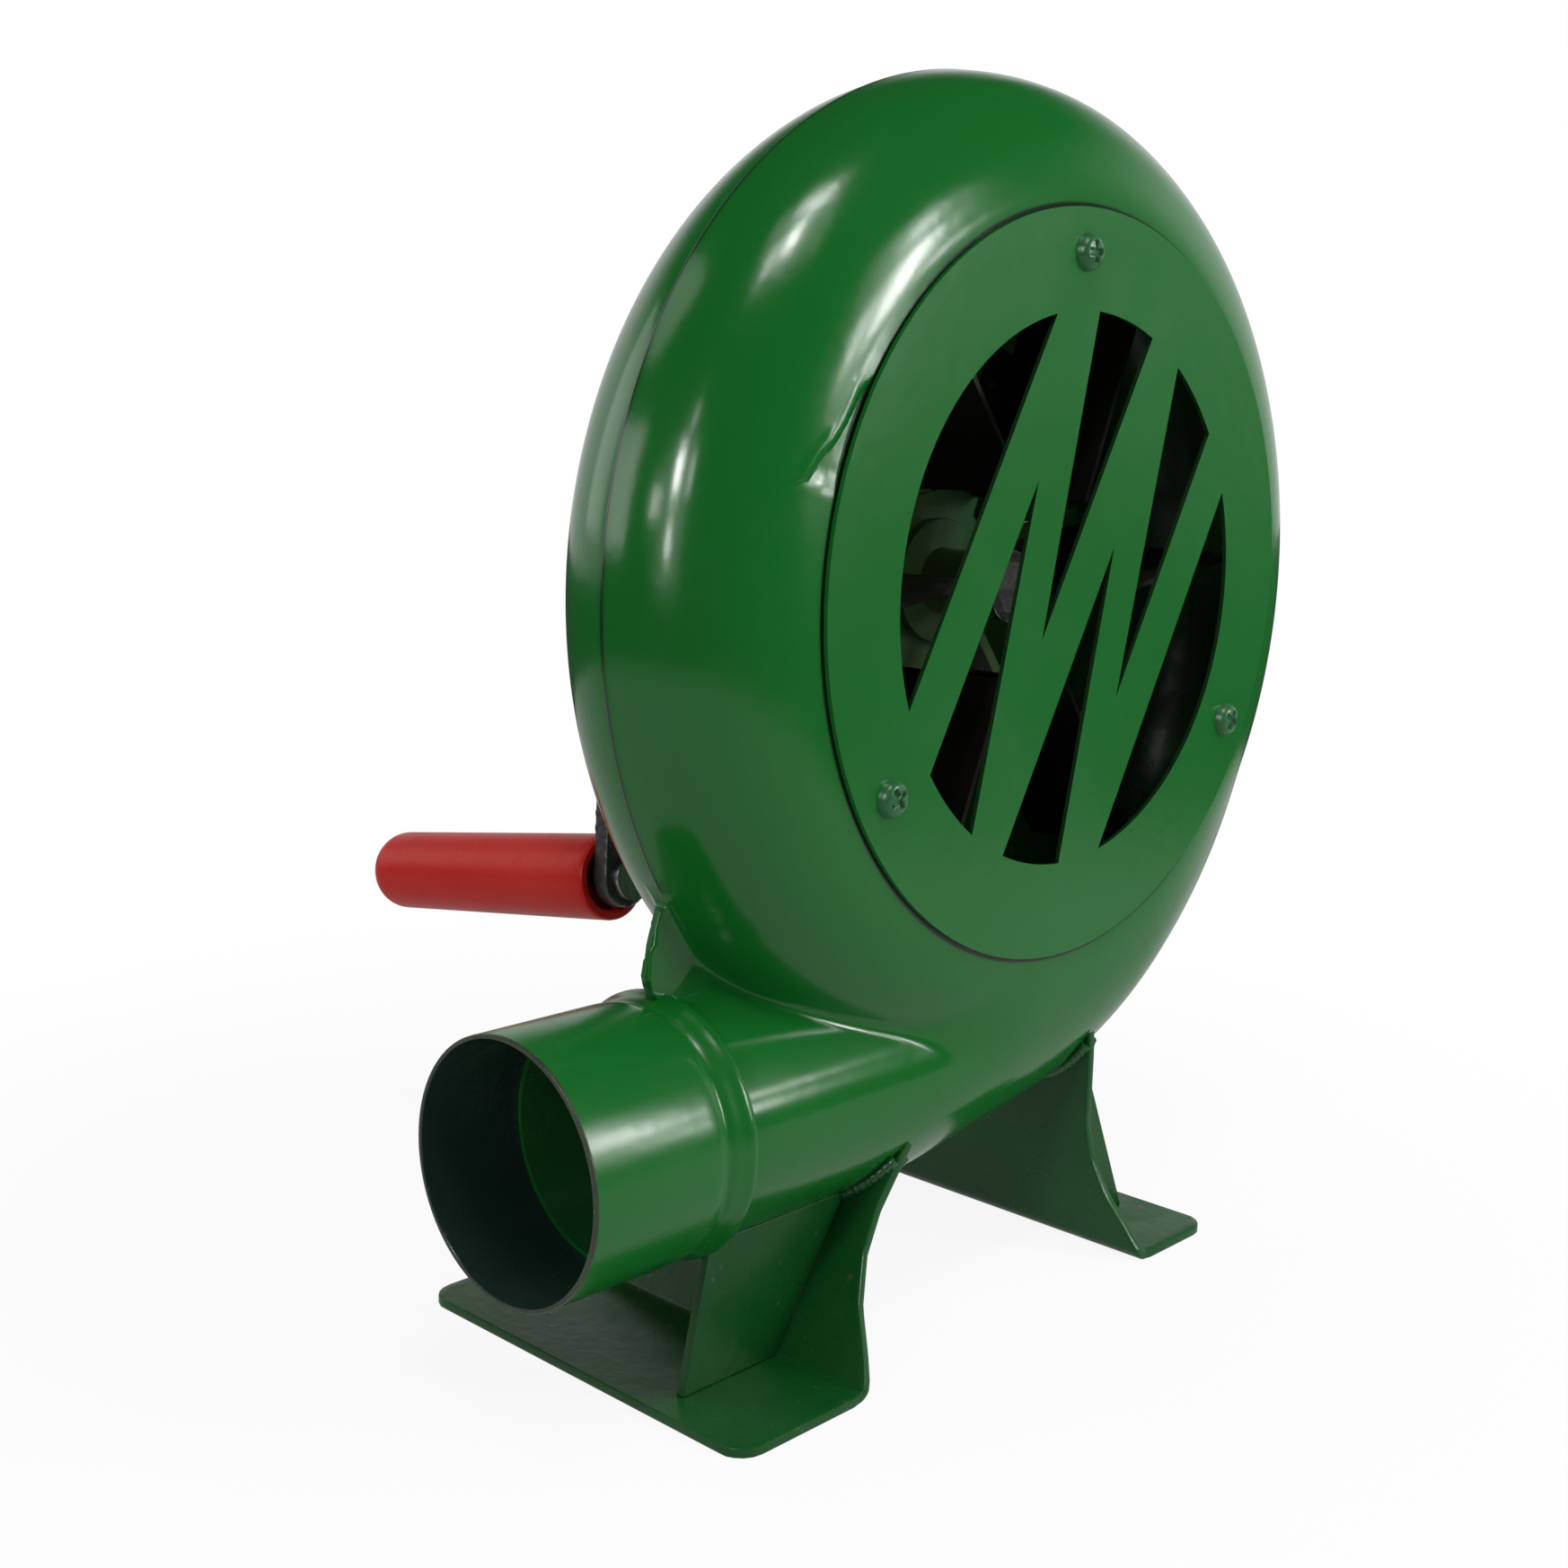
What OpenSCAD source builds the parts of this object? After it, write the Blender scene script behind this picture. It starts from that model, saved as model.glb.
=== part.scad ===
// Hand crank blower: pressed sheet casing on two bent feet, with a geared hand crank behind it.
// Millimetres. The outlet faces -X, the inlet faces -Y, the crank is on the +Y side, Z is up.

/* [Casing] */
// Thickness of the casing's sheet
sheet = 1.2; // [1:0.1:1.4]
// Height of the fan axis above the floor
axis_h = 191; // [190:0.5:193]
// Radius of the casing at its seam
casing_r = 131; // [130:0.5:132]
// How far the casing's middle lies from the fan axis towards the outlet
casing_shift = 2.2; // [1.8:0.1:2.6]
// Depth and rounding radius of the front half
front_rim_r = 33.5; // [33:0.1:34.5]
// Depth and rounding radius of the back half
back_rim_r = 32.2; // [32.2:0.1:33]
// Radius of the scroll's outermost line
scroll_r = 137.5; // [136.5:0.5:138.5]
// How far the scroll's middle lies from the fan axis towards the outlet
scroll_shift = 11.1; // [10.6:0.1:11.6]
// How far the scroll's middle lies below the fan axis
scroll_drop = 11.9; // [11.4:0.1:12.4]
// Slope of the pipe between the scroll and the neck
dive_angle = 9; // [8:0.5:10]
// How far the front half's opening lies inside the inlet plate's edge
hole_inset = 16; // [15:0.5:17]
// Radius of the round air hole in the back wall
air_hole_r = 18; // [14:0.5:19]
// Sideways and upward distance of the air hole from the fan axis
air_hole_x = 57; // [56:0.5:60]
air_hole_up = 37; // [36:0.5:40]
// Radius of the small hole in the back wall
drain_hole_r = 2.5; // [2:0.1:3]
// Sideways and upward distance of the small hole from the fan axis
drain_hole_x = 36; // [35:0.5:37]
drain_hole_up = 30; // [29:0.5:31]

/* [Neck and outlet tube] */
// Outer radius of the neck and of the scroll's section
neck_r = 30.5; // [30:0.1:30.5]
// Bend radius of the elbow between the pipe and the neck
elbow_r = 107; // [90:1:120]
// Step from the scroll's section down to the pipe's, and from there to the elbow's
pipe_step = 0.1; // [0.05:0.05:0.15]
// Depth of the neck's axis below the fan axis
neck_drop = 125.4; // [125:0.2:126.2]
// Distance of the neck's axis behind the seam
neck_y = 0.6; // [0.4:0.1:0.8]
// Distance from the fan axis to the neck's end, inside the tube
neck_reach = 131; // [128:0.5:134]
// Distance from the fan axis to the tube's inner end
tube_start = 111; // [109:0.5:113]
// Distance from the fan axis to the tube's mouth
tube_reach = 159.8; // [156:0.2:166]
// Outer radius of the outlet tube
tube_r = 31.75; // [31.75:0.01:32]
// Wall of the outlet tube
tube_wall = 1.2; // [1:0.05:1.2]
// Radius of the bead at the tube's inner end
bead_r = 1.3; // [1:0.1:2]
// Radius and length of the tube's belled inner end
bell_r = 32.3; // [32.1:0.1:33]
bell_len = 11.5; // [10:0.5:13]
// Corners of the joining web above the neck, as shares of the neck's radius
web_shares = [
    [4.0, 1.17], [4.0, 1.24], [3.87, 1.55], [3.75, 1.79], [3.0, 2.05], [2.2, 1.2], [3.4, 0.85],
    [3.6, 0.9], [3.6, 1.17]
];

/* [Inlet plate] */
// Distance from the inlet plate's edge to where the casing's rim starts to curve
plate_inset = 1.5; // [0.5:0.5:3.5]
// Thickness of the inlet plate
plate_t = 1.2; // [1:0.1:1.5]
// Width of the plate's border round the inlet opening
plate_border = 25; // [23:0.5:27]
// Corners of the guard's slots, as shares of the opening's radius
side_slot_shares = [[-0.208, 0.978], [-0.935, -0.354], [-1.5, 0.1], [-0.9, 1.3]];
long_slot_shares = [[-0.273, 0.407], [-0.922, -0.779], [-0.627, -1.069]];
mid_slot_shares = [[-0.212, -0.163], [0.095, 1.232], [0.507, 1.138]];
// Distance of the plate screws from the plate's edge
screw_inset = 11; // [10:0.5:11.5]
// Direction of the first plate screw
screw_angle = 92.2; // [88:0.2:96]
// Number of plate screws
screw_count = 3; // [3:1:6]
// Radius of the screws' and bolts' shanks
screw_r = 2.5; // [2.3:0.1:2.6]
// Radius and height of a pan head
pan_head_r = 4.75; // [4.5:0.05:5]
pan_head_h = 3; // [2.6:0.1:3.4]
// Length of a plate screw below its head
plate_screw_len = 8; // [7.5:0.5:8.5]
// Width of the cross in a pan head
cross_w = 1.1; // [0.9:0.1:1.3]
// Corner radius and height of a small nut
nut_r = 4.6; // [4.4:0.1:4.8]
nut_h = 4; // [3.5:0.1:4.2]

/* [Feet] */
// Thickness of the feet's sheet
foot_sheet = 2.5; // [2:0.1:3]
// Length of a foot along the fan axis
foot_len = 118; // [114:1:122]
// Distance from the seam to the feet's front ends
foot_near = 43.7; // [43:0.1:45]
// Width of the front foot's flange
front_flange_w = 43; // [40:0.5:45]
// Distance from the fan axis to the front foot's bend
front_bend = 85.2; // [84:0.2:87]
// How far the front foot's web leans in, from the floor to the neck's height
front_web_run = 44.25; // [42:0.25:47]
// Width of the rear foot's flange
rear_flange_w = 36; // [34:0.5:38]
// Distance from the fan axis to the rear foot's bend
rear_bend = 35.1; // [34:0.1:36]
// How far the rear foot's web leans in, from the floor to the neck's height
rear_web_run = 5.74; // [4.6:0.02:7]
// Rounding of the flanges' corners
flange_corner_r = 7; // [4:0.5:9]
// How far both webs run up past the neck's height, before they are trimmed to the casing
web_over = 17; // [15:0.5:18]
// Edge of both webs, as shares of the feet's length and of the neck's height
web_edge_shares = [
    [0, 0], [0.055, 0.18], [0.11, 0.342], [0.15, 0.486], [0.163, 0.648], [0.155, 0.81], [0.155, 2],
    [0.59, 2], [0.59, 0.81], [0.6, 0.594], [0.66, 0.396], [0.78, 0.198], [1, 0]
];
// Distance from the seam to the middle of the front and of the rear gusset
front_gusset_y = 14; // [12:0.5:16]
rear_gusset_y = 17; // [15:0.5:19]
// Distance from the flange's outer edge to the gusset's foot
gusset_inset = 10; // [8:0.5:12]
// How far the front and the rear gusset's outer edge leans in, up to the neck's height
front_gusset_run = 14.2; // [12:0.2:16]
rear_gusset_run = 28.1; // [26:0.1:30]

/* [Impeller] */
// Number of paddles
paddle_count = 6; // [5:1:6]
// Outer radius of the impeller
impeller_r = 92; // [88:0.5:94]
// Inner radius of the paddles
paddle_start_r = 27; // [26:0.5:29]
// Width of the paddles along the axis
paddle_w = 38; // [34:0.5:38]
// Distance from the seam to the paddles' front edges
paddle_near = 24; // [23.5:0.1:24.5]
// Thickness of the paddles and of the spider
paddle_t = 1.5; // [1.2:0.1:1.8]
// Width of a paddle's riveted foot
paddle_foot_w = 12; // [11:0.5:13]
// Outer radius of a paddle's riveted foot
paddle_foot_r = 68; // [66:0.5:70]
// Turn of the first paddle
paddle_angle = 8; // [0:1:20]
// Radius of the spider's middle
spider_r = 24; // [22:0.5:25]
// Width of a spider's arm
spider_arm_w = 18; // [17:0.5:19]
// Radii of the circles of paddle rivets
rivet_ring_in = 38; // [36:0.5:40]
rivet_ring_out = 60; // [58:0.5:61]
// Radius of a rivet, and radius and height of its heads
rivet_r = 2; // [1.8:0.1:2.2]
rivet_head_r = 3.6; // [3.2:0.1:3.8]
rivet_head_h = 1.4; // [1:0.1:1.6]
// Radius of the impeller's hub and of its flange
hub_r = 9; // [8.5:0.1:9.5]
hub_flange_r = 17; // [16:0.5:18]
// Thickness of the hub's flange
hub_flange_t = 3; // [2.5:0.1:3.5]
// Length of the impeller's hub
hub_len = 26; // [25:0.5:26.5]
// Radius and thickness of the hub's washer
hub_washer_r = 9.5; // [9:0.1:10]
hub_washer_t = 1.6; // [1.4:0.1:1.8]
// Corner radius and height of the hub's nut
hub_nut_r = 7.4; // [7:0.1:7.6]
hub_nut_h = 6.4; // [6:0.1:6.8]

/* [Shaft and gears] */
// Radius of the fast shaft's journal, of its front end and of its pinion's seat
journal_r = 5; // [4.8:0.1:5.2]
spindle_r = 4; // [3.8:0.1:4.2]
pinion_seat_r = 3; // [2.8:0.1:3]
// Radius of the fast shaft's collar
collar_r = 7; // [6.8:0.1:7.5]
// Outer radius and length of a fast shaft's bush
bush_r = 7.5; // [7.2:0.1:7.8]
bush_len = 6.5; // [6:0.1:7]
// Module and teeth of the fast pair
fast_module = 0.8; // [0.8:0.1:0.8]
fast_pinion_teeth = 14; // [14:1:14]
fast_wheel_teeth = 42; // [42:1:42]
// Module and teeth of the slow pair
slow_module = 1; // [1:0.1:1]
slow_pinion_teeth = 14; // [14:1:14]
slow_wheel_teeth = 84; // [84:1:84]
// Pressure angle of the teeth
pressure_angle = 25; // [25:1:25]
// Height of a tooth above and below its pitch circle, as a share of the module
tip_share = 1;
root_share = 1.25;
// Play between the teeth, as a share of the module
play_share = 0.16;
// Width of the fast wheel and of the slow wheel
fast_wheel_w = 8.5; // [8:0.1:9]
slow_wheel_w = 9; // [8.5:0.1:9.2]
// Gap between the two wheels, side by side
wheel_gap = 2.5; // [2.2:0.1:3]
// Direction of the idler from the fan axis
idler_angle = 14; // [12:0.5:16]
// Radius of the idler's journal, of the stud's thread and of the stud's collar
stud_r = 3.5; // [3.3:0.1:3.6]
stud_thread_r = 4; // [3.9:0.1:4.2]
stud_collar_r = 6; // [5.5:0.1:6.5]
// How far the stud's thread stands into the fan chamber
stud_stickout = 13; // [11:0.5:14]
// Corner radius and height of the stud's nut
stud_nut_r = 7.4; // [7:0.1:7.6]
stud_nut_h = 6; // [5:0.1:6.4]
// Radius and thickness of the idler's ring
clip_r = 6; // [5.5:0.1:6.5]
clip_t = 1.2; // [1:0.1:1.4]

/* [Gear case] */
// Gap between the slow wheel's tips and the case's wall
case_gap = 2.5; // [2:0.1:3]
// Wall and floor of the gear case
case_wall = 3; // [2.8:0.1:3.2]
case_floor = 4; // [3.6:0.1:4.2]
// Depth of the case from its floor to the cover
case_depth = 30; // [29.5:0.1:31]
// Thickness of the cover
cover_t = 4; // [3.5:0.1:4.5]
// Radius and length of the cover's boss
cover_boss_r = 13.5; // [12.5:0.5:14]
cover_boss_len = 18; // [17:0.5:18.5]
// Radius of the bosses inside the case and in front of it
case_boss_r = 10.5; // [10:0.1:11]
// How far the fast shaft's boss stands into the fan chamber
bearing_boss_len = 12.8; // [12:0.1:13]
// Length of the crank shaft's boss on the floor
crank_boss_len = 10.3; // [9.8:0.1:10.6]
// Radius of a bolt's pillar, and distance of the pillars from the case's inner edge
pillar_r = 6.5; // [6:0.1:6.8]
pillar_out = 8; // [7.5:0.1:8.2]
// Directions of the four outer pillars from the idler's direction
pillar_angles = [75, 140, 220, 285];
// Height of a case bolt's head, and its length beyond the nut
bolt_head_h = 3.5; // [3:0.1:4]
bolt_tip = 2; // [1:0.5:3]

/* [Crank] */
// Radius of the crank shaft and of its threaded end
shaft_r = 6; // [5.8:0.1:6.2]
shaft_thread_r = 5; // [4.8:0.1:5]
// Width across the flats below the crank's hub
flat_w = 10.2; // [10.1:0.1:10.4]
// Outer radius of the crank shaft's bushes
crank_bush_r = 8; // [7.8:0.1:8.2]
// Radius of the large gear's hub, and radius of its cross pin
gear_hub_r = 11; // [10.5:0.1:12]
gear_pin_r = 1.5; // [1.3:0.1:1.7]
// Radius and thickness of the thrust washer
thrust_washer_r = 11; // [10:0.5:12]
thrust_washer_t = 1.5; // [1.3:0.1:1.6]
// Radius and length of the crank arm's hub
arm_hub_r = 11; // [10.5:0.1:11.5]
arm_hub_len = 22; // [21:0.5:23]
// Width and thickness of the crank arm
arm_w = 17.5; // [16:0.5:19]
arm_t = 6; // [5.5:0.1:6.5]
// Length of the crank arm between its middles
arm_len = 93.2; // [90:0.2:96]
// Lean of the arm towards the casing
arm_lean = 8.5; // [7:0.5:10]
// Turn of the hanging arm towards the outlet
rest_angle = 10; // [8:0.5:12]
// Distance from the seam to the arm's front face at the shaft
arm_face_y = 103.4; // [103:0.2:104]
// Corner radius and height of the crank's nut
crank_nut_r = 9.3; // [9:0.1:9.8]
crank_nut_h = 8; // [7:0.5:8.5]

/* [Grip] */
// Radius of the grip at its inner and at its outer end
grip_r = 12.85; // [12.5:0.05:13.5]
grip_end_r = 12.4; // [12:0.1:12.5]
// Length of the grip
grip_len = 107; // [104:0.5:110]
// Rounding of the grip's outer end
grip_round_r = 9; // [7:0.5:10]
// Radius and depth of the recess in the grip's inner end
grip_recess_r = 9.8; // [9:0.1:10.2]
grip_recess_d = 7; // [6:0.1:8]
// Radius of the grip's pin, and radius and height of its riveted head
pin_r = 4; // [3.8:0.1:4.2]
pin_head_r = 6.5; // [6:0.1:7]
pin_head_h = 2.6; // [2.2:0.1:3]
// Radius and thickness of the pin's collar
pin_collar_r = 6.5; // [6:0.1:7]
pin_collar_t = 3; // [2.5:0.1:3.5]
// Length of the pin behind the arm
pin_len = 94; // [92:0.5:95]
// Distance from the pin's end to its ring
pin_clip_back = 3; // [2.5:0.1:3.5]
// Radius of the grip's inner chamber
chamber_r = 7; // [6.8:0.1:7.5]

/* [Fits] */
// Radial clearance of a turning shaft in its bush
run_gap = 0.05; // [0.03:0.01:0.08]
// Radial clearance of parts that are fixed on each other
seat_gap = 0.02; // [0.01:0.01:0.03]
// Radial clearance around a bolt or screw
bolt_gap = 0.25; // [0.2:0.05:0.3]
// Side clearance between turning parts
side_gap = 0.3; // [0.2:0.05:0.3]
// Extra length of every cut
overrun = 2; // [1:0.5:3]

/* [Hidden] */
$fn = 96;
hex = 6;

plate_r = casing_r - front_rim_r - plate_inset;
front_hole_r = plate_r - hole_inset;
inlet_r = plate_r - plate_border;
screw_ring_r = plate_r - screw_inset;
neck_h = axis_h - neck_drop;
web_top_z = neck_h + web_over;
front_lean = atan(front_web_run / neck_h);
rear_lean = atan(rear_web_run / neck_h);

mid_r = scroll_r - neck_r;
end_x = mid_r * sin(dive_angle) - scroll_shift;
end_z = axis_h - scroll_drop - mid_r * cos(dive_angle);
pipe_run = (end_z - neck_h - elbow_r * (1 - cos(dive_angle))) / sin(dive_angle);
neck_x = end_x - pipe_run * cos(dive_angle) - elbow_r * sin(dive_angle);
elbow_lap = sheet / elbow_r * 180 / PI;

wall_y = back_rim_r;
floor_y = wall_y + case_floor;
fast_y = floor_y + 2.5 * side_gap;
slow_y = fast_y + fast_wheel_w + wheel_gap;
cover_y = floor_y + case_depth;
boss_end_y = cover_y + cover_t + cover_boss_len;
washer_y = boss_end_y + side_gap;
arm_hub_y = washer_y + thrust_washer_t + side_gap;
hub_end_y = arm_hub_y + arm_hub_len;
boss_front_y = wall_y - bearing_boss_len;
spider_y = paddle_w - paddle_near;
collar_end_y = boss_front_y - side_gap;
collar_y = spider_y + paddle_t;
hub_y = spider_y - hub_len;
nut_y = hub_y - hub_washer_t - hub_nut_h;
gear_hub_len = cover_y - slow_y - slow_wheel_w - side_gap;

fast_reach = fast_module * (fast_pinion_teeth + fast_wheel_teeth) / 2;
slow_reach = slow_module * (slow_pinion_teeth + slow_wheel_teeth) / 2;
idler_x = fast_reach * cos(idler_angle);
idler_up = fast_reach * sin(idler_angle);
crank_x = idler_x - sqrt(pow(slow_reach, 2) - pow(idler_up, 2));
slow_dir = atan2(idler_up, idler_x - crank_x);
case_r = slow_module * (slow_wheel_teeth / 2 + tip_share) + case_gap;
idler_case_r = fast_module * (fast_wheel_teeth / 2 + tip_share) + case_gap;
tangent_angle = asin((case_r - idler_case_r) / slow_reach);

gusset_top_z = neck_h;
box_low_x = -tube_reach;
box_high_x = casing_r - casing_shift;
grip_tip = arm_t + side_gap + grip_len;
box_high_y = arm_face_y + (grip_tip - grip_round_r) * cos(arm_lean)
    + (grip_end_r - grip_round_r - arm_len) * sin(arm_lean) + grip_round_r;
mid_x = (box_low_x + box_high_x) / 2;
mid_y = (box_high_y - foot_near) / 2;

green = [0.16, 0.5, 0.2];
black = [0.08, 0.08, 0.08];
red = [0.8, 0.1, 0.08];
steel = [0.72, 0.73, 0.75];
zinc = [0.8, 0.78, 0.7];
iron = [0.3, 0.3, 0.32];
bronze = [0.7, 0.52, 0.28];

// Moves the whole object so that the origin is below its middle.
module placed() {
    translate([-mid_x, -mid_y, 0]) children();
}

// Extrudes an outline drawn in X and Z from y along +Y.
module from_y(y, len) {
    translate([0, y + len, 0]) rotate([90, 0, 0]) linear_extrude(len) children();
}

// Extrudes an outline drawn in Y and Z from x along +X.
module from_x(x, len) {
    translate([x, 0, 0]) rotate([90, 0, 90]) linear_extrude(len) children();
}

// Turns a profile of radius and Y about an axis along Y.
module turned(x, z) {
    translate([x, 0, z]) rotate([-90, 0, 0]) rotate_extrude() children();
}

// Plain round bar along +Y.
module bar(x, y, z, r, len) {
    translate([x, y, z]) rotate([-90, 0, 0]) cylinder(h = len, r = r);
}

// Hexagonal bar along +Y.
module hex_bar(x, y, z, r, len) {
    translate([x, y, z]) rotate([-90, 0, 0]) cylinder(h = len, r = r, $fn = hex);
}

module quarter(r) {
    intersection() {
        circle(r);
        square(r);
    }
}

module drum_half(rim, t) {
    translate([casing_r - rim, 0]) quarter(rim - t);
    square([casing_r - rim, rim - t]);
}

module drum(t) {
    translate([-casing_shift, 0, axis_h]) rotate([-90, 0, 0]) rotate_extrude() {
        drum_half(back_rim_r, t);
        mirror([0, 1]) drum_half(front_rim_r, t);
    }
}

module scroll(t) {
    translate([-scroll_shift, neck_y, axis_h - scroll_drop]) rotate([-90, 0, 0])
        rotate_extrude(angle = 90 - dive_angle) translate([mid_r, 0]) circle(neck_r - t);
}

module pipe(t) {
    translate([end_x, neck_y, end_z]) rotate([0, -90 - dive_angle, 0]) translate([0, 0, -sheet])
        cylinder(h = pipe_run + sheet, r = neck_r - pipe_step - t);
}

module elbow(t) {
    translate([neck_x, neck_y, neck_h + elbow_r]) rotate([-90, 0, 0])
        rotate([0, 0, 90 - dive_angle - elbow_lap]) rotate_extrude(angle = dive_angle + 2 * elbow_lap)
            translate([elbow_r, 0]) circle(neck_r - 2 * pipe_step - t);
}

module neck(t, extra) {
    translate([neck_x, neck_y, neck_h]) rotate([0, -90, 0])
        cylinder(h = neck_reach + neck_x + extra, r = neck_r - t);
}

module duct(t, extra) {
    drum(t);
    scroll(t);
    pipe(t);
    elbow(t);
    neck(t, extra);
}

module web() {
    from_y(-sheet, 2 * sheet) polygon([
        for (share = web_shares) [-share[0] * neck_r, neck_h + share[1] * neck_r]
    ]);
}

module half_space(side) {
    translate([-2 * casing_r, side > 0 ? 0 : -casing_r, 0]) cube([4 * casing_r, casing_r, 4 * casing_r]);
}

module casing_half(side) {
    difference() {
        intersection() {
            union() {
                duct(0, 0);
                web();
            }
            half_space(side);
        }
        duct(sheet, overrun);
    }
}

module at_plate_screws() {
    for (i = [0 : screw_count - 1]) {
        a = screw_angle + i * 360 / screw_count;
        translate([screw_ring_r * cos(a), 0, axis_h + screw_ring_r * sin(a)]) children();
    }
}

module at_pillars() {
    for (a = pillar_angles) {
        translate([
            crank_x + (case_r + pillar_out) * cos(slow_dir + a), 0,
            axis_h + (case_r + pillar_out) * sin(slow_dir + a)
        ]) children();
    }
    translate([
        idler_x + (idler_case_r + pillar_out) * cos(slow_dir), 0,
        axis_h + idler_up + (idler_case_r + pillar_out) * sin(slow_dir)
    ]) children();
}

module front_shell() {
    color(green) placed() difference() {
        casing_half(-1);
        bar(0, -front_rim_r - overrun, axis_h, front_hole_r, 2 * overrun + sheet);
        at_plate_screws() bar(0, -front_rim_r - overrun, 0, screw_r + bolt_gap, 2 * overrun + sheet);
    }
}

module back_shell() {
    cut_y = wall_y - sheet - overrun;
    cut_len = sheet + 2 * overrun;
    color(green) placed() difference() {
        casing_half(1);
        bar(0, cut_y, axis_h, case_boss_r + bolt_gap, cut_len);
        bar(idler_x, cut_y, axis_h + idler_up, stud_thread_r + bolt_gap, cut_len);
        bar(air_hole_x, cut_y, axis_h + air_hole_up, air_hole_r, cut_len);
        bar(drain_hole_x, cut_y, axis_h + drain_hole_up, drain_hole_r, cut_len);
        at_pillars() bar(0, cut_y, 0, screw_r + bolt_gap, cut_len);
    }
}

module outlet_tube() {
    len = tube_reach - tube_start;
    color(green) placed() translate([-tube_start, neck_y, neck_h]) rotate([0, -90, 0])
        rotate_extrude() difference() {
            union() {
                square([tube_r, len]);
                square([bell_r, bell_len]);
                translate([tube_r, bead_r]) circle(bead_r);
            }
            translate([0, -overrun]) square([tube_r - tube_wall, len + 2 * overrun]);
        }
}

module slot(shares) {
    polygon([for (share = shares) share * inlet_r]);
}

module guard_slots() {
    intersection() {
        circle(inlet_r);
        for (turn = [0, 180]) rotate(turn) {
            slot(side_slot_shares);
            slot(long_slot_shares);
            slot(mid_slot_shares);
        }
    }
}

module inlet_plate() {
    color(green) placed() difference() {
        translate([0, 0, axis_h]) from_y(-front_rim_r - plate_t, plate_t) difference() {
            circle(plate_r);
            guard_slots();
        }
        at_plate_screws() bar(0, -front_rim_r - plate_t - overrun, 0, screw_r + bolt_gap, plate_t + 2 * overrun);
    }
}

module pan_screw(len) {
    turned(0, 0) {
        square([screw_r, len]);
        intersection() {
            translate([0, -pan_head_h]) square([pan_head_r, pan_head_h]);
            translate([0, pan_head_r * 0.75]) circle(pan_head_h + pan_head_r * 0.75);
        }
    }
}

module head_cross() {
    for (turn = [0, 90]) rotate([0, turn, 0])
        translate([-cross_w * 2, -pan_head_h - overrun, -cross_w / 2])
            cube([cross_w * 4, overrun + pan_head_h / 2, cross_w]);
}

module plate_screws() {
    color(zinc) placed() at_plate_screws() translate([0, -front_rim_r - plate_t, 0]) difference() {
        pan_screw(plate_screw_len);
        head_cross();
    }
}

module plate_nuts() {
    y = -front_rim_r + sheet;
    color(zinc) placed() at_plate_screws() difference() {
        hex_bar(0, y, 0, nut_r, nut_h);
        bar(0, y - overrun, 0, screw_r + seat_gap, nut_h + 2 * overrun);
    }
}

// Bent sheet section of a foot, with the flange towards -X and the web leaning towards +X.
module foot_section(flange_w, lean) {
    wide = foot_sheet / cos(lean);
    reach = web_top_z * tan(lean);
    polygon([
        [-flange_w, 0], [0, 0], [reach, web_top_z], [reach - wide, web_top_z],
        [foot_sheet * tan(lean) - wide, foot_sheet], [-flange_w, foot_sheet]
    ]);
}

module foot_outline() {
    translate([-foot_near, 0]) polygon([
        for (share = web_edge_shares) [share[0] * foot_len, min(share[1] * neck_h, web_top_z)]
    ]);
}

module flange_plan(flange_w) {
    translate([-flange_w + flange_corner_r, -foot_near])
        square([flange_w - flange_corner_r + foot_sheet, foot_len]);
    translate([-flange_w, flange_corner_r - foot_near])
        square([flange_w, foot_len - 2 * flange_corner_r]);
    for (y = [flange_corner_r, foot_len - flange_corner_r])
        translate([-flange_w + flange_corner_r, y - foot_near]) circle(flange_corner_r);
}

module foot(flange_w, lean) {
    intersection() {
        from_y(-foot_near, foot_len) foot_section(flange_w, lean);
        union() {
            linear_extrude(foot_sheet) flange_plan(flange_w);
            from_x(-foot_sheet * 2, foot_len) foot_outline();
        }
    }
}

module front_foot() {
    color(green) placed() difference() {
        translate([-front_bend, 0, 0]) foot(front_flange_w, front_lean);
        pipe(0);
        elbow(0);
        neck(0, 0);
    }
}

module rear_foot() {
    color(green) placed() difference() {
        translate([rear_bend, 0, 0]) mirror([1, 0, 0]) foot(rear_flange_w, rear_lean);
        scroll(0);
        drum(0);
    }
}

module gusset_plate(flange_w, lean, edge_run) {
    wide = foot_sheet / cos(lean);
    polygon([
        [foot_sheet * tan(lean) - wide, foot_sheet],
        [gusset_top_z * tan(lean) - wide, gusset_top_z],
        [gusset_inset - flange_w + edge_run, gusset_top_z],
        [gusset_inset - flange_w, foot_sheet]
    ]);
}

module front_gusset() {
    color(green) placed() difference() {
        translate([-front_bend, 0, 0]) from_y(-front_gusset_y - foot_sheet / 2, foot_sheet)
            gusset_plate(front_flange_w, front_lean, front_gusset_run);
        pipe(0);
        elbow(0);
        neck(0, 0);
    }
}

module rear_gusset() {
    color(green) placed() difference() {
        translate([rear_bend, 0, 0]) mirror([1, 0, 0])
            from_y(-rear_gusset_y - foot_sheet / 2, foot_sheet)
                gusset_plate(rear_flange_w, rear_lean, rear_gusset_run);
        scroll(0);
        drum(0);
    }
}

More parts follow.
